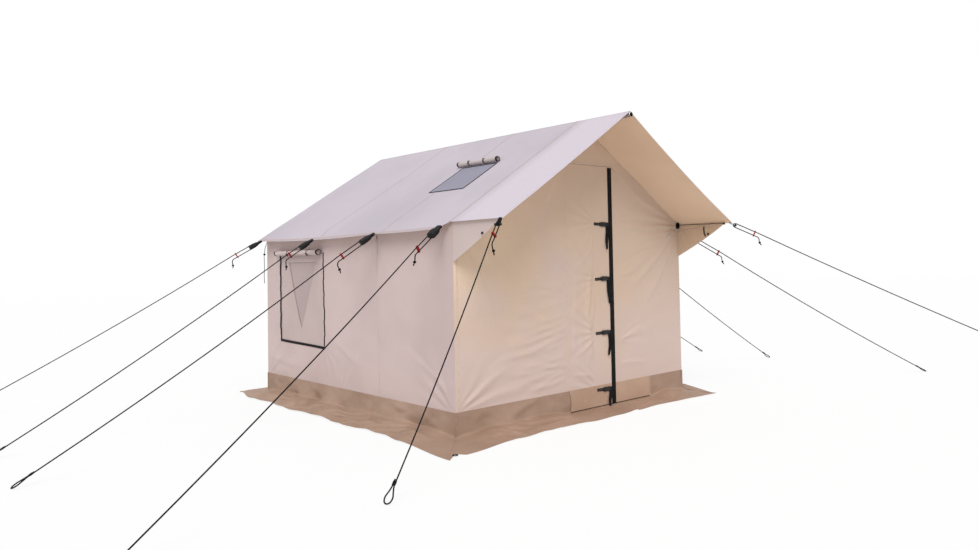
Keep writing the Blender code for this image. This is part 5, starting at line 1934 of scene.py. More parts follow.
@dataclass
class SodStrip:
    """One strip of sod cloth: a band up the wall and an apron on the ground, creased and ruffled."""

    name: str
    corner: Vector
    along: Vector
    outward: Vector
    length: float
    near_edge: tuple[Point2, ...] = ()
    far_edge: tuple[Point2, ...] = ()
    top: float = 0.183
    low_from: float | None = None
    seed: float = 0.0
    apron: float = 0.235
    scallop: float = 0.016
    fold_rise: float = 0.017
    pitch: float = 0.60
    corner_reach: float = 0.26
    base: float = 0.0035
    band_share: float = 0.42
    sill_height: float = 0.0118
    sill_lip: float = 0.0048
    sill_reach: float = 0.12

    def ends(self, place: float) -> list[tuple[tuple[Point2, ...], float, int]]:
        """Each shaped end, how far it is from a place, and which way it points."""
        both = ((self.near_edge, place, -1), (self.far_edge, self.length - place, 1))
        return [end for end in both if end[0]]

    def reach(self, place: float) -> float:
        """How far the apron reaches out at a place along the strip."""
        reach = self.apron + self.scallop * math.sin(4 * math.pi * place / self.pitch / 3)
        reach += 0.006 * math.sin(place * 19.0 + self.seed) + 0.009 * self.noise(place * 5.0, 0.3, 5.0)
        for edge, distance, _ in self.ends(place):
            if distance < self.corner_reach:
                reach += (edge[-1][0] - reach) * eased(1 - distance / self.corner_reach)
        return reach

    def skew(self, place: float, out: float) -> float:
        """How far a point moves along the strip, so that its end runs out to a tip."""
        moved = 0.0
        for edge, distance, way in self.ends(place):
            if distance < self.corner_reach:
                outs, skews = zip(*edge)
                fade = (1 - distance / self.corner_reach) ** 1.25
                moved += way * float(np.interp(out, outs, skews)) * fade
        return moved

    def surface(self, place: float, share: float) -> tuple[float, float]:
        """Distance outwards and height of the cloth's upper face.

        Args:
            place: distance along the strip.
            share: nought at the band's top and one at the apron's edge.

        Returns:
            Outward distance and height.
        """
        clear = 1.0
        if self.low_from is not None:
            clear = eased(min(1.0, max(0.0, self.low_from - place) / 0.20))
        lay = 0.30 + 0.70 * clear
        rise = self.fold_rise * (1 - math.cos(2 * math.pi * place / self.pitch)) / 2 * lay
        crumple = self.noise(place * 9.0, share * 3.0, 0.0)
        fine = self.noise(place * 26.0, share * 7.0, 3.0)
        slant = 1 - 2.2 * abs(self.noise(place * 4.2 + share * 1.9, share * 1.3 - place * 1.1, 7.0))
        cross = 1 - 2.6 * abs(self.noise(place * 5.6 - share * 4.2, share * 2.4 + place * 1.2, 12.0))
        inside = eased(min(1.0, min(place, self.length - place) / 0.30)) * clear
        calm = 1.0
        for _, distance, _ in self.ends(place):
            calm *= min(1.0, 0.06 + distance / 0.20) ** 1.5
        wave = self.noise(place * 3.6, 0.0, 21.0)
        bend = 0.0125 + 0.0075 * clear + inside * (0.026 + 0.042 * wave)
        flare = 0.0035 + inside * max(0.0, 0.024 + 0.050 * self.noise(place * 4.4, 0.6, 33.0))
        if share < self.band_share:
            drop = share / self.band_share
            height = self.top * (1 - drop) + bend * drop
            soft = 0.0024 * crumple + 0.0012 * fine + 0.0050 * slant + 0.0040 * cross
            soft += 0.010 * inside * self.noise(place * 5.0 + drop * 1.6, drop * 1.4, 41.0)
            soft = max(-0.0014, soft) * math.sin(math.pi * drop) * calm
            return 0.0012 + max(0.0, flare * drop**2.2 + soft), height
        run = (share - self.band_share) / (1 - self.band_share)
        start = 0.0012 + flare
        out = start + (self.reach(place) - start) * run
        swell = math.sin(math.pi * min(1.0, run * 1.02))
        height = self.base + (bend - self.base) * max(0.0, 1 - run) ** 2.8 + rise * swell * 0.9 * calm
        ruffle = 0.0045 * crumple + 0.0022 * fine + 0.0110 * max(0.0, slant) + 0.0100 * max(0.0, cross)
        height += ruffle * (0.3 + swell) * lay * calm
        return out, max(self.base - 0.0013, height)

    def noise(self, a: float, b: float, shift: float) -> float:
        """Smooth noise about nought, of this strip's own pattern."""
        return noise.noise(Vector((a, b, self.seed + shift)), noise_basis=PERLIN)

    def build(self, node: str) -> None:
        """Build the strip, which stands for that CAD node."""
        start, fold = self.low_from, self.band_share
        places = steps(0.0, self.length, 0.013, () if start is None else (start - 0.004, start))
        shares = np.concatenate([np.linspace(0.0, fold, 10), np.linspace(fold, 1.0, 24)[1:]])
        rows, flat = [], []
        for share in shares:
            row, cut = [], []
            for place in places:
                out, height = self.surface(float(place), float(share))
                if start is not None and place >= start and share < fold:
                    height = self.sill_height
                    out = self.sill_lip - self.sill_reach * (1 - share / fold)
                moved = self.skew(float(place), out) if share > fold else 0.0
                height = self.base + (height - self.base) * math.exp(-abs(moved) / 0.06)
                point = self.corner + self.along * (float(place) + moved) + self.outward * out
                row.append(tuple(point + UP * height))
                cut.append((place, share * 0.41))
            rows.append(row)
            flat.append(cut)
        mesh = sheet_mesh(self.name, rows, flat)
        upward = sum((face.normal.dot(self.outward + UP) for face in mesh.polygons), 0.0)
        if upward < 0:
            mesh.flip_normals()
        thing = add_piece(self.name, mesh, Finish.SOD)
        thicken(thing, 0.0016)
        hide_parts(node)
        width = self.top + self.apron
        area = min(sum(face.area for face in mesh.polygons), 0.99 * self.length * width)


def build_sod_cloth() -> None:
    """All the strips round the tent's foot."""
    t = TENT
    x_axis, y_axis = Vector((1, 0, 0)), Vector((0, 1, 0))
    inner, outer = t.half_width - 0.0033, t.half_width + 0.0014
    plain = ((0.0, 0.0), (0.178, 0.222))
    long = ((0.0, 0.012), (0.19, 0.205), (0.235, 0.10))
    right_tip = ((0.0, -0.002), (0.031, 0.325), (0.25, -0.17))
    right_front_tip = ((0.0, 0.012), (0.331, 0.062))
    left_tip = ((0.0, 0.0), (0.186, 0.215), (0.238, 0.325), (0.338, 0.418))
    front_tip = ((0.0, 0.004), (0.195, 0.206), (0.30, 0.225), (0.375, 0.180))
    for side, word in ((-1, "left"), (1, "right")):
        corner = Vector((side * t.half_width, t.front, 0.0))
        near = left_tip if side < 0 else right_tip
        strip = SodStrip(
            f"sod_{word}",
            corner,
            y_axis,
            side * x_axis,
            t.length,
            near,
            plain,
            seed=side * 4.0,
            apron=0.255,
            base=0.0058,
        )
        strip.build(f"sod_cloth_{word}")
    corner = Vector((-inner, t.back, 0.0))
    SodStrip("sod_back", corner, x_axis, y_axis, 2 * inner, long, long, seed=9.0).build("sod_cloth_back")
    doorway = EndWalls()
    for side, word, edge, hinge, gap in (
        (-1, "left", front_tip, doorway.hinge_left, 0.0),
        (1, "right", right_front_tip, doorway.hinge_right, 0.002),
    ):
        strip = SodStrip(
            f"sod_front_{word}",
            Vector((side * outer, t.front, 0.0)),
            -side * x_axis,
            -y_axis,
            outer - side * doorway.zip_place - gap,
            edge,
            low_from=outer - side * hinge - 0.001,
            seed=15.0 + 2.0 * side,
            apron=0.295,
        )
        strip.build(f"sod_cloth_front_{word}")
    fittings = (
        ("sod_grommet", Vector((-1.292, t.front + 0.79, 0.026)), 0.009, 0.0026, Finish.PLASTIC),
        ("sod_peg_loop", Vector((-1.478, t.front - 0.362, 0.012)), 0.016, 0.0030, Finish.ROPE),
    )
    for name, centre, radius, wire, finish in fittings:
        ring = [centre + Vector((math.cos(a) * radius, math.sin(a) * radius, 0.0)) for a in turns(24)]
        add_piece(name, tube(name, ring, wire, 8, closed=True), finish)
    for side in (-1, 1):
        for y, way in ((t.front, -1), (t.back, 1)):
            x, far = side * (t.half_width + 0.0030), y + way * 0.0030
            arm, skin = 0.016, 0.0016
            angle = ((0, 0), (-arm, 0), (-arm, skin), (skin, skin), (skin, -arm), (0, -arm))
            corner = [(x + side * a, far + way * b) for a, b in angle]
            name = f"sod_corner_{'left' if side < 0 else 'right'}_{'front' if way < 0 else 'back'}"
            mesh = prism(name, corner, 0.169, Matrix.Translation(Vector((0.0, 0.0, 0.011))))
            add_piece(name, mesh, Finish.SOD)
    LOG.info("sod cloth laid")


# Door


@dataclass
class Door:
    """Both leaves, the strip over the zip, the buckles and the zip's slider."""

    walls: EndWalls
    foot: float = 0.02
    gap: float = 0.002
    setback: float = 0.038
    socket_length: float = 0.065
    socket_half: float = 0.019
    socket_depth: float = 0.013
    tails: tuple[float, ...] = (0.185, 0.185, 0.165, 0.118)
    leans: tuple[float, ...] = (0.0, 0.006, 0.032, 0.036)
    band_top: float = 0.181

    TAIL_SHARES = (-0.5, -0.4, 0.0, 0.4, 0.5)
    ANCHOR_SHARES = (-0.5, -0.42, 0.0, 0.42, 0.5)
    OUTWARDS = Vector((0.0, -1.0, 0.0))

    def leaf_sheet(self, name: str, low: float, high: float, body: str, node: str) -> None:
        """One leaf of the door.

        Args:
            name: the piece's name.
            low: its left edge.
            high: its right edge.
            body: the body that it moves with.
            node: the CAD node that it stands for.
        """
        us = steps(low, high, 0.011, (self.walls.zip_place + self.walls.strip,))
        tops = np.array([self.walls.head(float(x)) - self.gap for x in us])
        level = np.ones(len(us))
        for bottom, top, finish, word, count, lift in (
            (level * self.band_top, tops, Finish.FRONT, "cloth", 150, 0.0),
            # the door's band uses the lighter copy of the sod vinyl, as painted light
            (level * self.foot, level * (self.band_top + 0.003), Finish.DOOR_BAND, "band", 12, 0.0009),
        ):
            u, v = columns(us, bottom, top, count)
            points = grid(u, TENT.front - self.walls.leaf_out(u, v) - lift, v)
            mesh = sheet_mesh(f"{name}_{word}", points, grid(u, v))
            piece = thicken(add_piece(f"{name}_{word}", mesh, finish, body), WALL_CLOTH)
            area = area_under(top - bottom, us)
        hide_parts(node)

    def build(self) -> None:
        """Build the whole door."""
        walls = self.walls
        self.leaf_sheet("left_leaf", walls.hinge_left, walls.zip_place, "door_left", "door_leaf_left")
        edge = walls.zip_place + self.gap
        self.leaf_sheet("right_leaf", edge, walls.hinge_right, "door_right", "door_leaf_right")
        self.strip(edge)
        for number, height in enumerate(walls.buckles, 1):
            self.socket(number, height)
            self.plug(number, height)
        Finish.PLASTIC.dress(bpy.data.objects["zip_slider"])
        LOG.info("door with %d buckles", len(walls.buckles))

    def strip(self, edge: float) -> None:
        """The black strip over the zip, a little uneven at its edges.

        Args:
            edge: its left edge.
        """
        width = self.walls.strip
        zs = steps(self.foot, self.walls.door_head - 0.01, 0.012)
        shares = (0.0, 0.12, 0.5, 0.88, 1.0)
        rows, flat = [], []
        for z in zs:
            wave = 0.0012 * math.sin(z * 17.0) + 0.0008 * math.sin(z * 41.0)
            swell = 0.0009 + 0.0005 * math.sin(z * 23.0)
            row = []
            for share in shares:
                arch = math.sin(math.pi * share)
                row.append((edge + width * share + wave * arch, TENT.front - swell * arch - WALL_CLOTH, float(z)))
            rows.append(row)
            flat.append([(width * share, float(z)) for share in shares])
        mesh = sheet_mesh("door_strip", rows, flat)
        face_towards(mesh, self.OUTWARDS)
        strip = thicken(add_piece("door_strip", mesh, Finish.WEBBING, "door_right"), TAPE)
        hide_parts("zip_strip")

    def origin(self, height: float) -> Vector:
        """The outer face of the left leaf at a buckle's mouth."""
        return Vector((self.walls.zip_place - self.setback, TENT.front, height))

    def shell(
        self, section: Callable[[float], tuple[float, float]], reaches: Sequence[float], origin: Vector
    ) -> list[list[Vector]]:
        """Rounded cross-sections along X.

        Args:
            section: gives half height and depth at each reach.
            reaches: places along X from the origin.
            origin: where the reaches start.

        Returns:
            The rings of points.
        """
        rings = []
        for reach in reaches:
            half, depth = section(reach)
            ring = []
            for turn in turns(20):
                z = half * squared_off(math.cos(turn), 0.5)
                y = depth / 2 * squared_off(math.sin(turn), 0.55)
                ring.append(origin + Vector((reach, -self.socket_depth / 2 + y, z)))
            rings.append(ring)
        return rings

    def socket(self, number: int, height: float) -> None:
        """A buckle's socket with the webbing that holds it.

        Args:
            number: its number from the top.
            height: its height.
        """
        length, half, depth = self.socket_length, self.socket_half, self.socket_depth

        def section(reach: float) -> tuple[float, float]:
            share = -reach / length
            waist = 0.0042 * math.exp(-(((share - 0.26) / 0.12) ** 2))
            taper = 0.004 * max(0.0, (share - 0.62) / 0.38)
            return half - waist - taper, depth * (1 - 0.22 * abs(share - 0.4))

        reaches = [-length + length * step / 22 for step in range(23)]
        rings = self.shell(section, reaches, self.origin(height))
        body = add_piece(f"socket_shell_{number}", loft("socket", rings), Finish.PLASTIC, "door_left")
        bore = half - 0.0065
        outline = [(-0.036, -bore), (0.01, -bore), (0.01, bore), (-0.036, bore)]
        place = frame_at(self.origin(height) - Vector((0, 0.0025, 0)), Vector((1, 0, 0)), UP)
        cutter = bpy.data.objects.new("bore", prism("bore", outline, depth - 0.005, place))
        bpy.context.scene.collection.objects.link(cutter)
        cutter.hide_render = True
        cut = body.modifiers.new("bore", "BOOLEAN")
        cut.operation = "DIFFERENCE"
        cut.object = cutter
        self.apply(body)
        bpy.data.objects.remove(cutter, do_unlink=True)
        self.anchor(number, self.origin(height).x - length + 0.012, height)

    def anchor(self, number: int, start: float, height: float) -> None:
        """The webbing tab that sews a socket to the leaf, following its folds.

        Args:
            number: the buckle's number.
            start: where the tab leaves the socket.
            height: the buckle's height.
        """
        reach, width = 0.078, 0.022
        shares = np.linspace(0, 1, 12)
        spots = [(start - reach * share, height + 0.004 * share * math.sin(number * 2.0)) for share in shares]
        lifts = [0.0042 + 0.002 * (1 - min(1.0, share * 3)) for share in shares]
        rows, flat = [], []
        for (x, z), lift in zip(spots, lifts):
            row = []
            for s in self.ANCHOR_SHARES:
                place = z + width * s
                push = float(self.walls.leaf_out(np.array([x]), np.array([place]))[0])
                row.append((x, TENT.front - push - lift, place))
            rows.append(row)
            flat.append([(start - x, width * s) for s in self.ANCHOR_SHARES])
        mesh = sheet_mesh("anchor", rows, flat)
        face_towards(mesh, self.OUTWARDS)
        thicken(add_piece(f"buckle_anchor_{number}", mesh, Finish.STRIPED, "door_left"), TAPE)

    def apply(self, thing: bpy.types.Object) -> None:
        """Bake a piece's modifiers into its mesh."""
        graph = bpy.context.evaluated_depsgraph_get()
        mesh = bpy.data.meshes.new_from_object(thing.evaluated_get(graph))
        thing.modifiers.clear()
        thing.data = mesh

    def plug(self, number: int, height: float) -> None:
        """A buckle's plug with its hanging tail.

        Args:
            number: its number from the top.
            height: its height.
        """
        body = f"buckle_plug_{number}"
        wall, fit, arm = 0.0025, 0.0005, 0.005
        base, wide, reach = 0.0316, self.socket_half - 0.004, 0.0375
        half = wide - wall - fit
        outline = [
            (base, -wide + 0.003),
            (base, wide - 0.003),
            (base - 0.003, wide),
            (0.0016, wide),
            (0.0016, half),
            (-0.012, half + 0.0008),
            (-0.028, half),
            (-reach, half - 0.003),
            (-reach, half - arm),
            (-0.0005, half - arm),
            (-0.0005, 0.003),
            (-reach, 0.0015),
            (-reach, -0.0015),
            (-0.0005, -0.003),
            (-0.0005, -half + arm),
            (-reach, -half + arm),
            (-reach, -half + 0.003),
            (-0.028, -half),
            (-0.012, -half - 0.0008),
            (0.0016, -half),
            (0.0016, -wide),
            (base - 0.003, -wide),
        ]
        slots = [[(x, -0.011), (x + 0.0045, -0.011), (x + 0.0045, 0.011), (x, 0.011)] for x in (0.0125, 0.0235)]
        place = frame_at(self.origin(height) - Vector((0, 0.0048, 0)), Vector((1, 0, 0)), UP)
        mesh = prism("plug", outline, 0.0056, place, slots)
        plug = soften(add_piece(f"plug_body_{number}", mesh, Finish.PLASTIC, body), 0.0006)
        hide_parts(body)
        start = self.origin(height)
        tail = self.tails[number - 1]
        width = 0.030
        rows, flat = [], []
        for share in np.linspace(0.0, 1.0, 30):
            fall = share * (tail + 0.006)
            sway = 0.009 * (math.sin(share * 3.0 + number * 1.9) - math.sin(number * 1.9))
            sway -= self.leans[number - 1] * share**1.2
            out = 0.0095 + 0.006 * min(1.0, share * 5) + 0.006 * share * math.sin(share * 4.0 + number) ** 2
            out += 0.034 * share * share * (number == len(self.tails))
            turn = math.radians(38.0) * min(1.0, share * 6) + 0.35 * share * math.sin(number * 2.1 + share * 3.0)
            span = width * (1 - 0.5 * share * share)
            centre = start + Vector((0.0166 + sway, -out, -0.0125 - fall))
            across = Vector((math.cos(turn), -math.sin(turn), 0.0))
            rows.append([tuple(centre + across * span * s) for s in self.TAIL_SHARES])
            flat.append([(fall, s * width) for s in self.TAIL_SHARES])
        mesh = sheet_mesh("tail", rows, flat)
        thicken(add_piece(f"plug_tail_{number}", mesh, Finish.WEBBING, body), TAPE, 0.0)


# Guy lines


class Side(Enum):
    """Which side of the tent a line stands on."""

    LEFT = -1
    RIGHT = 1


@dataclass
class GuyLine:
    """A guy line with its strap, knots and tensioner."""

    name: str
    side: Side
    distance: float | None
    ground_place: Point2
    hold: float
    tail: float
    swing: float = 0.26
    radius: float = 0.004
    bend: float = 0.016
    lead: float = 0.033
    sag: float = 0.024
    loop_length: float = 0.096

    # The loop on the ground, along the line and beside it, in rope diameters
    LOOP = (
        (0.0, 0.0),
        (3.5, -1.0),
        (7.5, -2.6),
        (10.8, -1.9),
        (12.0, 0.6),
        (10.8, 3.0),
        (7.5, 3.7),
        (3.5, 2.1),
        (0.0, 1.3),
        (-4.0, 1.25),
    )
    # How the tail leaves the tensioner, outwards and down
    FALL = ((0.0, 0.0), (0.010, 0.007), (0.015, 0.020), (0.016, 0.036))

    def root(self) -> tuple[Vector, float]:
        """The hem point of the strap, and its reach to the bar."""
        t = TENT
        if self.distance is None:
            out = t.half_width + t.side_hem
            y, droop, reach = t.front - t.awning, 0.0, 0.050
        else:
            out = t.half_width + min(t.eave_hem, t.eave_hem * self.distance / t.hem_run_out)
            y, reach = t.front + self.distance, 0.085
            droop = float(t.droop(self.distance)) * (out - t.half_width) / t.eave_hem
        z = t.ridge - t.slope * out - droop - t.drop / 2
        return Vector((self.side.value * out, y, z)), reach

    def ground(self) -> Vector:
        """Where the line's loop lies on the ground."""
        x, y = self.ground_place
        return Vector((self.side.value * x, TENT.front + y, self.radius + 0.001))

    def axes(self) -> tuple[Vector, Vector, Vector]:
        """Directions along the line, under it and beside it."""
        root, _ = self.root()
        ground = self.ground()
        along = (ground - root).normalized()
        for _ in range(3):
            under = along.cross(along.cross(UP)).normalized()
            along = (ground - root + under * self.bend).normalized()
        beside = along.cross(UP).normalized()
        return along, along.cross(beside), beside

    def route(self) -> tuple[list[Vector], int]:
        """The route, with the index of the point inside the tensioner."""
        along, under, beside = self.axes()
        root, reach = self.root()
        bar = root + along * reach
        outward = Vector((along.x, along.y, 0.0)).normalized()
        leaves = bar + along * (self.hold + self.lead) + under * self.bend
        falls = [leaves + outward * out - UP * down for out, down in self.FALL]
        falls.append(falls[-1] + (outward * self.swing - UP * 0.96) * self.tail * 0.42)
        falls.append(falls[-1] + (outward * (self.swing + 0.34) - UP * 0.7) * 0.022)
        points = falls[::-1]
        held = len(points)
        points.append(bar + along * self.hold + under * self.bend)
        points.append(bar + along * self.bend + under * self.bend)
        for step in range(5):
            turn = math.pi / 2 + math.pi * step / 4
            points.append(bar + (along * math.cos(turn) + under * math.sin(turn)) * self.bend)
        points.append(bar + along * self.bend - under * self.bend)
        points.append(bar + along * (self.hold + self.lead) - under * self.bend)
        diameter = 2 * self.radius
        loop = self.ground() - along * self.loop_length
        begin = points[-1]
        for share in (0.08, 0.16, 0.25, 0.35, 0.45, 0.55, 0.65, 0.75, 0.86):
            points.append(begin.lerp(loop, share) - UP * 4 * self.sag * share * (1 - share))
        points += [loop + (along * a + beside * b) * diameter for a, b in self.LOOP]
        return points, held

    def build(self) -> None:
        """Build the rope in two stretches, and what is on it."""
        route, held = self.route()
        rope = self.rope(f"rope_{self.name}", smooth(route[held:]))
        tail = self.rope(f"rope_tail_{self.name}", smooth(route[: held + 1][::-1]))
        knots = [self.knot(f"tail_knot_{self.name}", route[2], route[1])]
        along, _, beside = self.axes()
        seized = self.ground() - along * self.loop_length
        whip = self.whipping(f"loop_seizing_{self.name}", seized, along, beside)
        node = f"tensioner_{self.name}"
        tensioner = bpy.data.objects[node]
        Finish.RED.dress(tensioner)
        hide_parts(f"guy_line_{self.name}")
        self.declare(rope, route[held])
        self.declare(tail, route[held])

    def declare(
        self, piece: bpy.types.Object, start: Vector
    ) -> None:
        """Read back a rope's points and its start, and keep neither.

        Args:
            piece: the rope.
            start: where it leaves what holds it.
        """
        points = [Vector(point.co[:3]) for point in piece.data.splines[0].points]
        2 * self.radius
        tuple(start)

    def rope(self, name: str, points: Sequence[Vector]) -> bpy.types.Object:
        """A rope along those points.

        Args:
            name: its name.
            points: its centre line.

        Returns:
            The rope.
        """
        curve = bpy.data.curves.new(name, "CURVE")
        curve.dimensions = "3D"
        curve.bevel_depth = self.radius
        curve.bevel_resolution = 3
        curve.use_fill_caps = True
        spline = curve.splines.new("POLY")
        spline.points.add(len(points) - 1)
        for place, point in zip(spline.points, points):
            place.co = (*point, 1.0)
        rope = bpy.data.objects.new(name, curve)
        bpy.context.scene.collection.objects.link(rope)
        Finish.ROPE.dress(rope)
        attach(rope, ROOT)
        return rope

    def knot(self, name: str, above: Vector, end: Vector) -> bpy.types.Object:
        """An overhand knot a little above the tail's end.

        Args:
            name: its name.
            above: a point of the tail over it.
            end: the tail's end.

        Returns:
            The knot.
        """
        centre = end.lerp(above, 0.3)
        axis = (above - end).normalized()
        first = axis.orthogonal().normalized()
        second = axis.cross(first)
        path = []
        for t in turns(42):
            x = math.sin(t) + 2 * math.sin(2 * t)
            y = math.cos(t) - 2 * math.cos(2 * t)
            z = -math.sin(3 * t)
            path.append(centre + (first * x + second * y) * 0.0026 + axis * z * 0.0042)
        return add_piece(name, tube("knot", path, 0.0036, 10, closed=True), Finish.ROPE)

    def whipping(self, name: str, centre: Vector, along: Vector, beside: Vector) -> bpy.types.Object:
        """The cord wound round the two runs where the ground loop closes.

        Args:
            name: its name.
            centre: a point between the runs.
            along: the line's direction.
            beside: the direction from run to run.

        Returns:
            The winding.
        """
        under = along.cross(beside)
        middle = centre + beside * 0.0052 - along * 0.012
        path = []
        for step in range(121):
            turn = 2 * math.pi * step / 20
            out = beside * math.cos(turn) * 0.0108 + under * math.sin(turn) * 0.0054
            path.append(middle + out + along * (step / 120 - 0.5) * 0.022)
        return add_piece(name, tube("whipping", path, 0.0016, 6), Finish.ROPE)


def smooth(points: Sequence[Vector]) -> list[Vector]:
    """Points read from a smooth curve through a route: two for a short stretch, one for a long.

    Args:
        points: the route.

    Returns:
        The denser points.
    """
    out = [points[0]]
    padded = [2 * points[0] - points[1], *points, 2 * points[-1] - points[-2]]
    for a, b, c, d in zip(padded, padded[1:], padded[2:], padded[3:]):
        if (c - b).length < 0.03:
            knots = [0.0]
            for first, second in ((a, b), (b, c), (c, d)):
                knots.append(knots[-1] + math.sqrt((second - first).length))
            t0, t1, t2, t3 = knots
            t = (t1 + t2) / 2
            ab = a * ((t1 - t) / (t1 - t0)) + b * ((t - t0) / (t1 - t0))
            bc = b * ((t2 - t) / (t2 - t1)) + c * ((t - t1) / (t2 - t1))
            cd = c * ((t3 - t) / (t3 - t2)) + d * ((t - t2) / (t3 - t2))
            abc = ab * ((t2 - t) / (t2 - t0)) + bc * ((t - t0) / (t2 - t0))
            bcd = bc * ((t3 - t) / (t3 - t1)) + cd * ((t - t1) / (t3 - t1))
            out.append(abc * ((t2 - t) / (t2 - t1)) + bcd * ((t - t1) / (t2 - t1)))
        out.append(c)
    return out


@dataclass
class Strap:
    """The strap at a hem that holds a line: a stiff pad on the eaves, plain webbing on the awning."""

    line: GuyLine
    width: float = 0.060

    def build(self) -> None:
        """Build the strap's pad, its two webbing loops and the bar."""
        root, reach = self.line.root()
        along, under, beside = self.line.axes()
        bar = root + along * reach
        name = self.line.name
        eave = self.line.distance is not None
        for index, shift in enumerate((-0.0165, 0.0165) if eave else (0.0,)):
            half = 0.006 if eave else 0.0125
            self.loop(f"strap_loop_{name}_{index}", bar + beside * shift, along, under, beside, reach, half)
        ends = [bar - beside * 0.0245, bar - beside * 0.024, bar + beside * 0.024, bar + beside * 0.0245]
        add_piece(f"strap_bar_{name}", tube("bar", ends, 0.0085, 16), Finish.PLASTIC)
        if eave:
            self.pad(root, reach, along, under, beside)

    def loop(
        self,
        name: str,
        centre: Vector,
        along: Vector,
        under: Vector,
        beside: Vector,
        reach: float,
        half: float,
    ) -> None:
        """One webbing loop round the bar and back to the hem.

        Args:
            name: its name.
            centre: the bar's centre there.
            along: the line's direction.
            under: the direction below it.
            beside: the direction beside it.
            reach: the bar's distance from the hem.
            half: half of the webbing's width.
        """
        radius = 0.0098
        path = [centre - along * (reach + 0.004) - under * 0.002, centre - along * 0.03 - under * 0.0035]
        for step in range(13):
            turn = -math.pi * 0.62 + math.pi * 1.24 * step / 12
            path.append(centre + (along * math.cos(turn) + under * math.sin(turn)) * radius)
        path += [centre - along * 0.03 + under * 0.0035, centre - along * (reach + 0.004) + under * 0.002]
        thick = TAPE / 2
        section = ((-half, -thick), (half, -thick), (half, thick), (-half, thick))
        rings = []
        for index, point in enumerate(path):
            step = path[min(index + 1, len(path) - 1)] - path[max(index - 1, 0)]
            normal = step.cross(beside).normalized()
            rings.append([point + beside * a + normal * b for a, b in section])
        add_piece(name, loft("loop", rings), Finish.WEBBING)

    def pad(self, root: Vector, reach: float, along: Vector, under: Vector, beside: Vector) -> None:
        """The stiff black pad over the strap, with its ridges.

        Args:
            root: the hem point.
            reach: the bar's distance from it.
            along: the line's direction.
            under: the direction below it.
            beside: the direction beside it.
        """
        low, high = -0.008, reach + 0.034
        rings = []
        for step in range(81):
            share = step / 80
            place = low + (high - low) * share
            neck = 0.66 + 0.34 * eased(min(1.0, max(0.0, (share - 0.30) / 0.14)))
            ends = min(1.0, 0.86 + 3.4 * (1 - share) ** 0.9)
            half = self.width / 2 * neck * ends * (1.04 - 0.10 * share)
            thick = (0.0115 + 0.0100 * min(1.0, share * 1.6)) * neck**0.5 * ends
            bars = math.cos(share * 2 * math.pi * 8)
            ring = []
            for turn in turns(44):
                a = half * squared_off(math.cos(turn), 0.6)
                rails = math.cos(a / half * math.pi * 2.0)
                relief = 0.91 + 0.12 * math.tanh(2.5 * max(bars, rails))
                b = thick * relief * squared_off(math.sin(turn), 0.6)
                ring.append(root + along * place + beside * a + under * b)
            rings.append(ring)
        add_piece(f"strap_pad_{self.line.name}", loft("pad", rings), Finish.RUBBER)


# Name, side, distance behind the front wall, place on the ground, hold, tail and the tail's swing
LINES = (
    GuyLine("left_1", Side.LEFT, 0.055, (3.49, -0.845), 0.20, 0.06),
    GuyLine("left_2", Side.LEFT, 0.90, (3.50, 0.985), 0.21, 0.10, -0.45),
    GuyLine("left_3", Side.LEFT, 1.92, (3.50, 1.90), 0.14, 0.10, -0.10),
    GuyLine("left_4", Side.LEFT, 2.97, (3.50, 3.87), 0.16, 0.09, -0.16),
    GuyLine("left_awning", Side.LEFT, None, (2.25, -0.875), 0.08, 0.10, -0.42),
    GuyLine("right_1", Side.RIGHT, 0.055, (3.50, -1.25), 0.36, 0.06),
    GuyLine("right_2", Side.RIGHT, 0.90, (3.50, 0.54), 0.17, 0.10),
    GuyLine("right_3", Side.RIGHT, 1.92, (3.50, 1.50), 0.13, 0.10),
    GuyLine("right_4", Side.RIGHT, 2.97, (3.50, 4.05), 0.15, 0.09),
    GuyLine("right_awning", Side.RIGHT, None, (3.30, -2.98), 0.175, 0.05),
)


def build_hanging_cord() -> None:
    """The thin cord that hangs from the eave hem at the back left corner."""
    out = 1.272
    top = TENT.under(out) - float(TENT.droop(2.9)) * (out - TENT.half_width) / TENT.eave_hem - 0.0022
    offsets = (
        (0.0, 2.900, 0.0),
        (-0.004, 2.904, 0.020),
        (-0.024, 2.916, 0.090),
        (-0.030, 2.921, 0.170),
        (-0.028, 2.920, 0.260),
        (-0.031, 2.922, 0.350),
        (-0.026, 2.926, 0.415),
    )
    points = [Vector((-out + a, TENT.front + b, top - c)) for a, b, c in offsets]
    line = GuyLine("back_corner", Side.LEFT, 2.9, (3.5, 2.9), 0.1, 0.1, radius=0.0025)
    cord = line.rope("corner_cord", points)
    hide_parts("hanging_cord")
    knot = line.knot("corner_cord_knot", points[2], points[3])
    line.declare(cord, points[0])


# Poles


def dress_poles() -> None:
    """Give the pole frame its steel."""
    corners = [f"{end}_{side}" for end in ("front", "back") for side in ("left", "right")]
    names = ["ridge_pole", "eave_pole_left", "eave_pole_right"]
    names += [f"{kind}_{corner}" for kind in ("rafter", "leg") for corner in corners]
    for name in names:
        pole = bpy.data.objects[name]
        Finish.STEEL.dress(pole)
        pole.data.shade_smooth()
        pole.data.set_sharp_from_angle(angle=math.radians(40))
    LOG.info("%d poles dressed", len(names))


# Studio


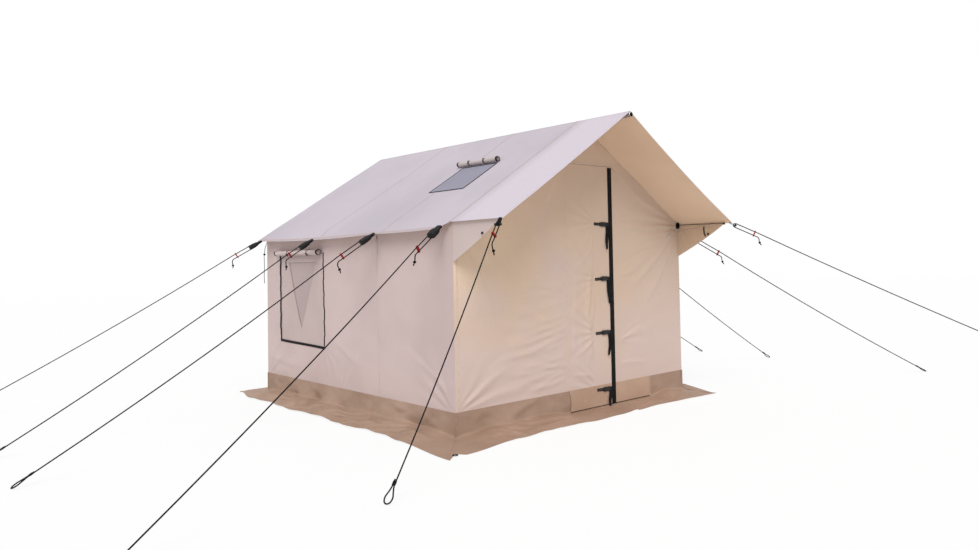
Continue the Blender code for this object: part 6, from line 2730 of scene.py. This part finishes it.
@dataclass
class Camera:
    """The photograph's view."""

    focal_pixels: float = 778.28
    width_pixels: float = 978.0
    place: tuple[float, float, float] = (-4.2934, -5.7706, 1.2327)
    yaw: float = 45.2175
    pitch: float = 1.7907
    roll: float = -1.2677
    shift: Point2 = (105.44, -44.92)

    def build(self) -> None:
        """Create the camera and make it the scene's."""
        data = bpy.data.cameras.new("photo_view")
        data.sensor_width = 36.0
        data.lens = self.focal_pixels * 36.0 / self.width_pixels
        data.shift_x = -self.shift[0] / self.width_pixels
        data.shift_y = self.shift[1] / self.width_pixels
        data.clip_end = 200.0
        yaw, pitch, roll = (math.radians(a) for a in (self.yaw, self.pitch, self.roll))
        forward = Vector((math.cos(pitch) * math.sin(yaw), math.cos(pitch) * math.cos(yaw), math.sin(pitch)))
        right = forward.cross(UP).normalized()
        up = right.cross(forward)
        right_rolled = right * math.cos(roll) + up * math.sin(roll)
        up_rolled = up * math.cos(roll) - right * math.sin(roll)
        camera = bpy.data.objects.new("photo_view", data)
        axes = Matrix((right_rolled, up_rolled, -forward)).transposed().to_4x4()
        camera.matrix_world = Matrix.Translation(Vector(self.place)) @ axes
        bpy.context.scene.collection.objects.link(camera)
        bpy.context.scene.camera = camera


@dataclass
class Studio:
    """Plain floor, white surroundings and soft lamps."""

    floor_size: float = 60.0
    sky: float = 0.60
    key: float = 2.35

    def build(self) -> None:
        """Build floor, world and lamps."""
        self.floor()
        self.world()
        sun = bpy.data.lights.new("soft_key", "SUN")
        sun.energy = self.key
        sun.angle = math.radians(38)
        sun.color = (1.0, 0.985, 0.97)
        lamp = bpy.data.objects.new("soft_key", sun)
        lamp.rotation_euler = (math.radians(38), math.radians(-26), math.radians(-12))
        bpy.context.scene.collection.objects.link(lamp)
        bpy.context.scene.view_settings.view_transform = "Standard"

    def floor(self) -> None:
        """A pale floor that looks white to the camera and keeps soft shadows."""
        half = self.floor_size / 2
        mesh = bpy.data.meshes.new("floor")
        corners = [(-half, -half, 0), (half, -half, 0), (half, half, 0), (-half, half, 0)]
        mesh.from_pydata(corners, [], [(0, 1, 2, 3)])
        floor = bpy.data.objects.new("floor", mesh)
        bpy.context.scene.collection.objects.link(floor)
        s = Shader("floor_paint")
        s.dress(Base_Color=(0.86, 0.86, 0.86), Roughness=0.9)
        glow = s.node("ShaderNodeEmission", None, (1.0, 1.0, 1.0, 1.0), 1.0)
        mixed = s.node("ShaderNodeMixShader", None, s.seen() * 0.8, s.principled.out(), glow.out())
        s.link(mixed.out(), s.surface)
        mesh.materials.append(s.material)

    def world(self) -> None:
        """White to the camera, soft daylight to the tent."""
        world = bpy.data.worlds.new("soft_sky")
        tree = NodeTree(world)
        light = tree.node("ShaderNodeBackground", None, (0.97, 0.98, 1.0, 1.0), self.sky)
        white = tree.node("ShaderNodeBackground", None, (1.0, 1.0, 1.0, 1.0))
        mixed = tree.node("ShaderNodeMixShader", None, tree.seen(), light.out(), white.out())
        output = tree.node("ShaderNodeOutputWorld")
        tree.link(mixed.out(), output.node.inputs["Surface"])
        bpy.context.scene.world = world


def main() -> None:
    """Build the whole scene."""
    logging.basicConfig(level=logging.INFO, format="%(message)s")
    Camera().build()
    for line in LINES:
        line.build()
    build_hanging_cord()
    Studio().build()
    roof = Roof()
    roof.build()
    StoveOpening(roof).build()
    for line in LINES:
        Strap(line).build()
    for side, word in ((-1, "left"), (1, "right")):
        SideWall(side, word).build()
    walls = EndWalls()
    walls.build()
    build_sod_cloth()
    Door(walls).build()
    dress_poles()


if __name__ == "__main__":
    main()
